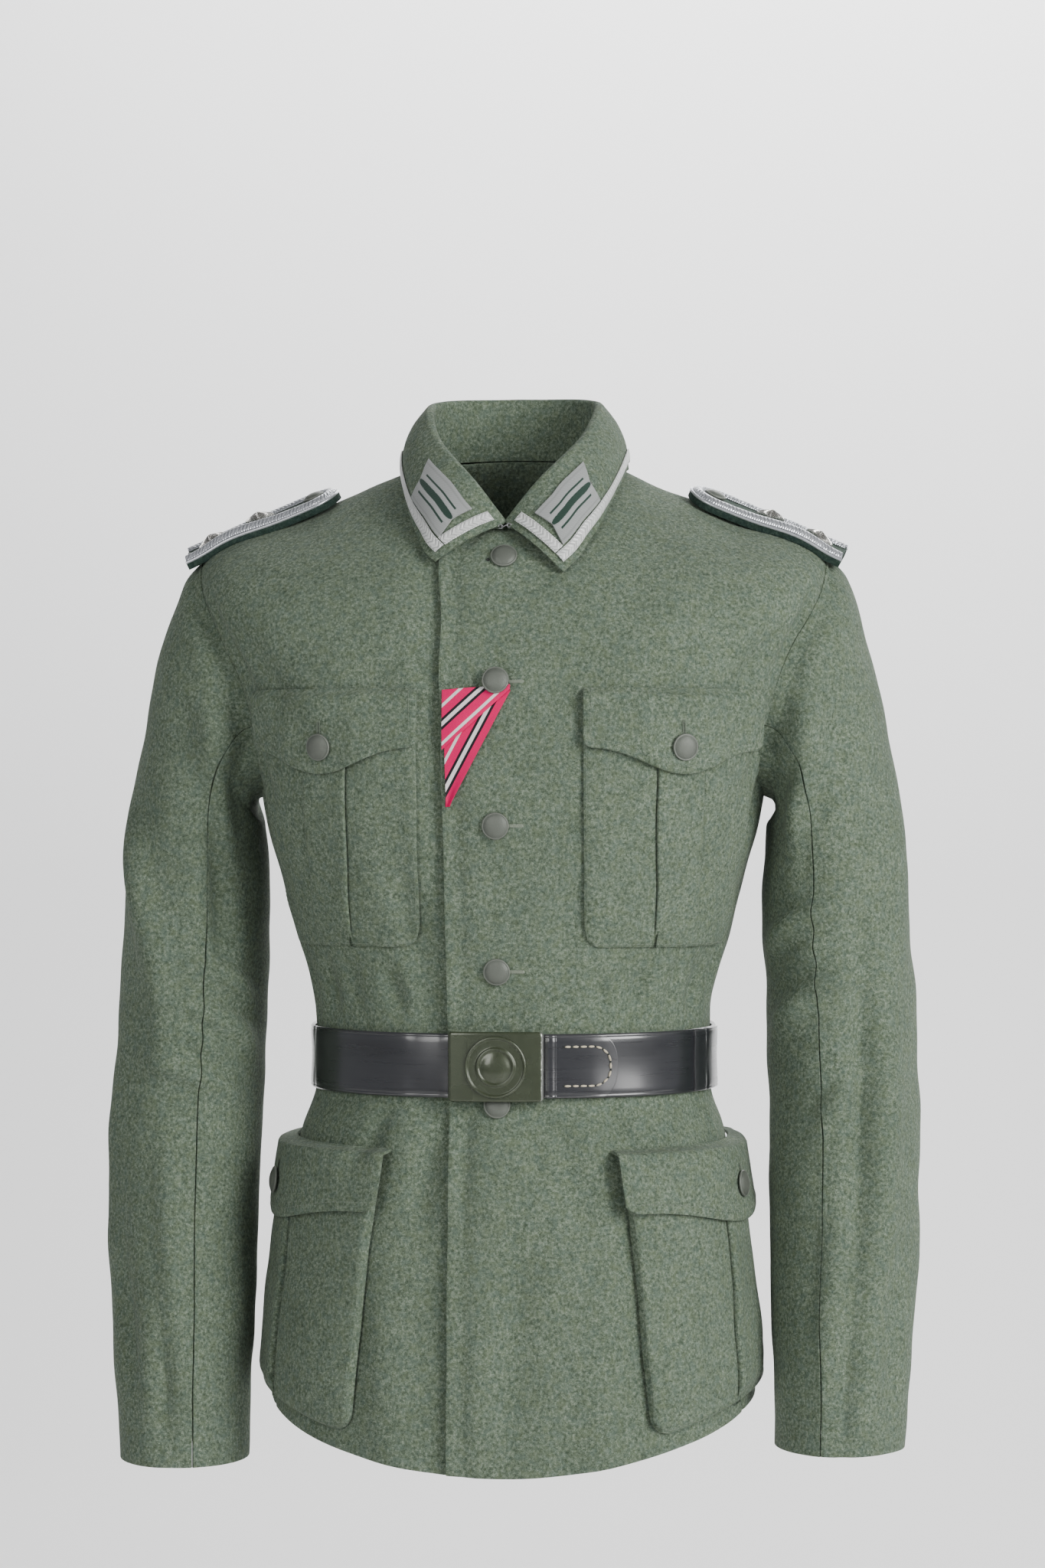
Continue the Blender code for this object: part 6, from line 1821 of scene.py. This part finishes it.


# Worked buttonholes: a slit painted dark as its shade, with close threads on both sides and a bar at its end
def buttonhole(name, middle, direction, normal, size=0.0088, finish="thread", half=0.0011, slit=True):
    middle, direction, normal = (np.array(given, float) for given in (middle, direction, normal))
    direction, normal = unit(direction), unit(normal)
    cross = unit(np.cross(normal, direction))
    spots = np.linspace(-size / 2, size / 2, int(size / 0.00058))
    points, aims = [], []
    for edge in (-1, 1):
        for k, spot in enumerate(spots):
            points.append(middle + direction * spot + cross * edge * half * 0.80 + normal * 0.00028)
            aims.append(cross + direction * 0.12 * math.sin(k * 2.3))
    for spot in np.linspace(-half, half, 4):
        points.append(middle + direction * (size / 2 + 0.0005) + cross * spot + normal * 0.0003)
        aims.append(direction)
    threads(name, points, aims, "wool", finish, length=0.0018, thread=0.00030, seed=5)
    if not slit:
        return
    # Painted shade: a thin dark sheet along the slit
    rows = [[middle + direction * a + cross * b + normal * 0.00025
             for a in np.linspace(-size / 2, size / 2, 8)] for b in (-0.0004, 0, 0.0004)]
    keep(shell(name + "_slit", np.array(rows), normal, "hole", wall=0.0004, edge=0), "wool")


for number in (2, 3, 4):
    height = frontButtons["heights"][number - 1]
    middle, near = frontSpot(0.0108, height), frontSpot(0.0148, height)
    seatPoint, nearPoint = bodyPoint(*middle), bodyPoint(*near)
    buttonhole(f"buttonhole_{number}", seatPoint, nearPoint - seatPoint, bareNormal(*middle),
               finish="paleThread", half=0.0006, slit=False)
for side, word in sides:
    holes = (("chest", chestFlapSpot, chestFlap["button"], chestFlapRise, 0.0135),
             ("skirt", skirtFlapSpot, skirtFlap["button"], skirtFlapRise, 0.175))
    for kind, spot, height, rise, step in holes:
        angle, v = spot(0.0, height + step)
        above = spot(0.0, height + step * 1.3)
        high = cloth["lay"] + rise + cloth["wall"]
        point = bodyPoint(side * angle, v, high)
        upward = bodyPoint(side * above[0], above[1], high) - point
        buttonhole(f"flap_hole_{kind}_{word}", point, upward, bareNormal(side * angle, v), size=0.0075)


# Cream lockstitch that holds the belt's folded end, bent to a round end
def strapSpot(x, z, out):
    grid, flat = strapGrid(angleAt(np.array([x]), beltRing), [(z - belt["height"]) / belt["width"]], 0.0)
    return grid[0, 0] + flat[0] * out


bend, seamTop = 0.0118, 0.0137
corners = [(x, seamTop) for x in np.linspace(0.0425, 0.0735 - bend, 12)]
corners += [(0.0735 - bend + bend * math.sin(t), seamTop - bend + bend * math.cos(t))
            for t in np.linspace(0, math.pi / 2, 14)[1:]]
corners += [(x, -z) for x, z in corners[::-1]]
path = [strapSpot(x, belt["height"] + z, 0.0021) for x, z in corners]
spots, aims = along(path, 0.0056)
threads("stitches_belt", spots, aims, "leather", "cream", length=0.0050, thread=0.00080, seed=8)
# Painted shade: dark dimples at the ends of each stitch, for the shade in the stitch holes
ends = np.concatenate([spots - aims * 0.0028, spots[-1:] + aims[-1:] * 0.0028])
threads("stitch_holes_belt", ends, np.concatenate([aims, aims[-1:]]), "leather", "hole", length=0.0014,
        thread=0.00075, seed=2)


# Hook and eye at the collar, bent from wire, and the eyelet beside the top button
def wire(name, paths, radius, finish, slot, *nodes):
    points, edges = [], []
    for path in paths:
        edges += [(len(points) + k, len(points) + k + 1) for k in range(len(path) - 1)]
        points += [tuple(map(float, p)) for p in path]
    mesh = bpy.data.meshes.new(name)
    mesh.from_pydata(points, edges, [])
    base = bpy.data.objects.new(name + "_path", mesh)
    bpy.context.collection.objects.link(base)
    return keep(grown(name, base, wires, {"Radius": radius, "Finish": finishes[finish]}), slot, *nodes)


hookTop = coarseCollar[collar["first"], 0]
hookMiddle = np.array([0.0, hookTop[1] - 0.0030, hookTop[2] - 0.0015])
hookPaths = []
for flip in (1, -1):
    turns = np.linspace(0, 1.72 * math.pi, 26)
    loop = [(flip * (0.0031 + 0.0015 * math.cos(t)), -0.0003, 0.0013 * math.sin(t) + flip * 0.0005)
            for t in turns]
    hookPaths.append([hookMiddle + np.array(spot) for spot in loop])
bar = [hookMiddle + np.array([x, -0.0008 - 0.0006 * math.cos(x * 620), 0.0006 * math.sin(x * 900)])
       for x in np.linspace(-0.0024, 0.0024, 16)]
wire("hook_wire", hookPaths + [bar], 0.00042, "steel", "steel", "collar_hook")
eyeSpot = frontSpot(-0.0112, -0.0722)
eye = plane(bodyPoint(*eyeSpot), bareNormal(*eyeSpot))
# Painted shade: the eyelet is a dark ring for the shade in its hole
spun("eyelet", ((0.0013, 0.0001), (0.0013, 0.0005), (0.0010, 0.0004)), eye, "hole", "wool", None, count=20)


# Narrow tape inside each armhole seam, where the allowances lie together
for side, word in sides:
    turns = np.radians(np.linspace(0, 360, 150))
    reach = np.linspace(-0.0060, 0.0055, 5)[:, None]
    angles = math.pi / 2 + (body["armAngle"] + reach / 0.14) * np.sin(turns)
    heights = body["armMiddle"] + (body["armReach"] + reach / 0.045) * np.cos(turns)
    grid = bodyPoint(side * angles, heights, -0.0036)
    keep(shell(f"armhole_tape_{word}", grid, bareNormal(side * angles, heights), wall=0.0012, edge=0), "wool")
print("threads made")


# Stage: a pale sweep, soft light, and the camera at the photo's height and angle
studio = {
    "azimuth": 4.0, "height": -0.230, "distance": 2.49, "lens": 78.0, "middle": 0.0065,
    "floor": -1.30, "wall": 3.4, "paint": (0.93, 0.93, 0.93), "low": (0.66, 0.655, 0.65), "ambient": 0.48,
}


def sweep():
    # Floor that curves up into a wall behind, painted darker towards the floor as shade
    radius, profile = 0.9, [(-4.5, studio["floor"])]
    for k in range(13):
        turn = math.radians(90 * k / 12)
        profile.append((studio["wall"] - radius + radius * math.sin(turn),
                        studio["floor"] + radius - radius * math.cos(turn)))
    profile.append((studio["wall"], 3.2))
    points = [(x, y, z) for y, z in profile for x in (-7.0, 7.0)]
    faces = [(2 * k, 2 * k + 1, 2 * k + 3, 2 * k + 2) for k in range(len(profile) - 1)]
    mesh = bpy.data.meshes.new("sweep")
    mesh.from_pydata(points, [], faces)
    mesh.shade_smooth()
    paint = Finish("sweep paint", roughness=0.9, specular=0.1)
    height = paint.node("ShaderNodeSeparateXYZ", None, {0: paint.place()}, 2)
    # Painted shade: the sweep is painted darker towards the floor and darkest on it, for the light falling
    # off
    shade = paint.range(height, -1.35, 0.10, 0.45, 0.0)
    mesh.materials.append(paint.finish(paint.mix(shade, studio["paint"], studio["low"])))
    made = bpy.data.objects.new("sweep", mesh)
    bpy.context.collection.objects.link(made)


def softLight(name, place, aim, size, power, tint=(1, 1, 1)):
    light = bpy.data.lights.new(name, "AREA")
    light.shape, light.energy, light.color = "RECTANGLE", power, tint
    light.size, light.size_y = size
    made = bpy.data.objects.new(name, light)
    made.location, made.visible_camera = place, False
    made.rotation_euler = (Vector(aim) - Vector(place)).to_track_quat("-Z", "Y").to_euler()
    bpy.context.collection.objects.link(made)


sweep()
softLight("key left", (-1.25, -2.5, 0.62), (0, 0, -0.3), (1.0, 1.8), 31, (1.0, 0.99, 0.97))
softLight("key right", (2.1, -1.7, 0.55), (0, 0, -0.3), (1.1, 1.9), 102, (1.0, 0.995, 0.985))
softLight("top", (0.2, -1.2, 2.0), (0, 0, -0.2), (1.8, 1.4), 1.5)
softLight("back wall", (0.5, 1.9, 2.4), (0.35, 3.4, 0.7), (3.4, 0.8), 210)
softLight("behind", (0.3, 1.2, 0.6), (0, 0, -0.3), (1.2, 1.2), 8)
world = bpy.data.worlds.new("studio air")
world.use_nodes = True
world.node_tree.nodes["Background"].inputs["Color"].default_value = (0.93, 0.95, 1.0, 1)
# The air is brightest level with the tunic and dims overhead
nodes, links = world.node_tree.nodes, world.node_tree.links
aim, parts, fade = (nodes.new("ShaderNode" + kind) for kind in ("TexCoord", "SeparateXYZ", "MapRange"))
for socket, value in (("From Min", 0.0), ("From Max", 0.9), ("To Min", studio["ambient"]),
                      ("To Max", studio["ambient"] * 0.25)):
    fade.inputs[socket].default_value = value
links.new(aim.outputs["Generated"], parts.inputs["Vector"])
links.new(parts.outputs["Z"], fade.inputs["Value"])
links.new(fade.outputs["Result"], nodes["Background"].inputs["Strength"])
bpy.context.scene.world = world

turn = math.radians(studio["azimuth"])
right = Vector((math.cos(turn), math.sin(turn), 0))
lens = bpy.data.cameras.new("camera")
lens.lens, lens.sensor_fit, lens.sensor_height, lens.sensor_width = studio["lens"], "VERTICAL", 36.0, 24.0
camera = bpy.data.objects.new("camera", lens)
away = Vector((math.sin(turn), -math.cos(turn), 0)) * studio["distance"]
camera.location = right * studio["middle"] + away + Vector((0, 0, studio["height"]))
camera.rotation_euler = (math.pi / 2, 0, turn)
bpy.context.collection.objects.link(camera)
bpy.context.scene.camera = camera
print("camera and light set")
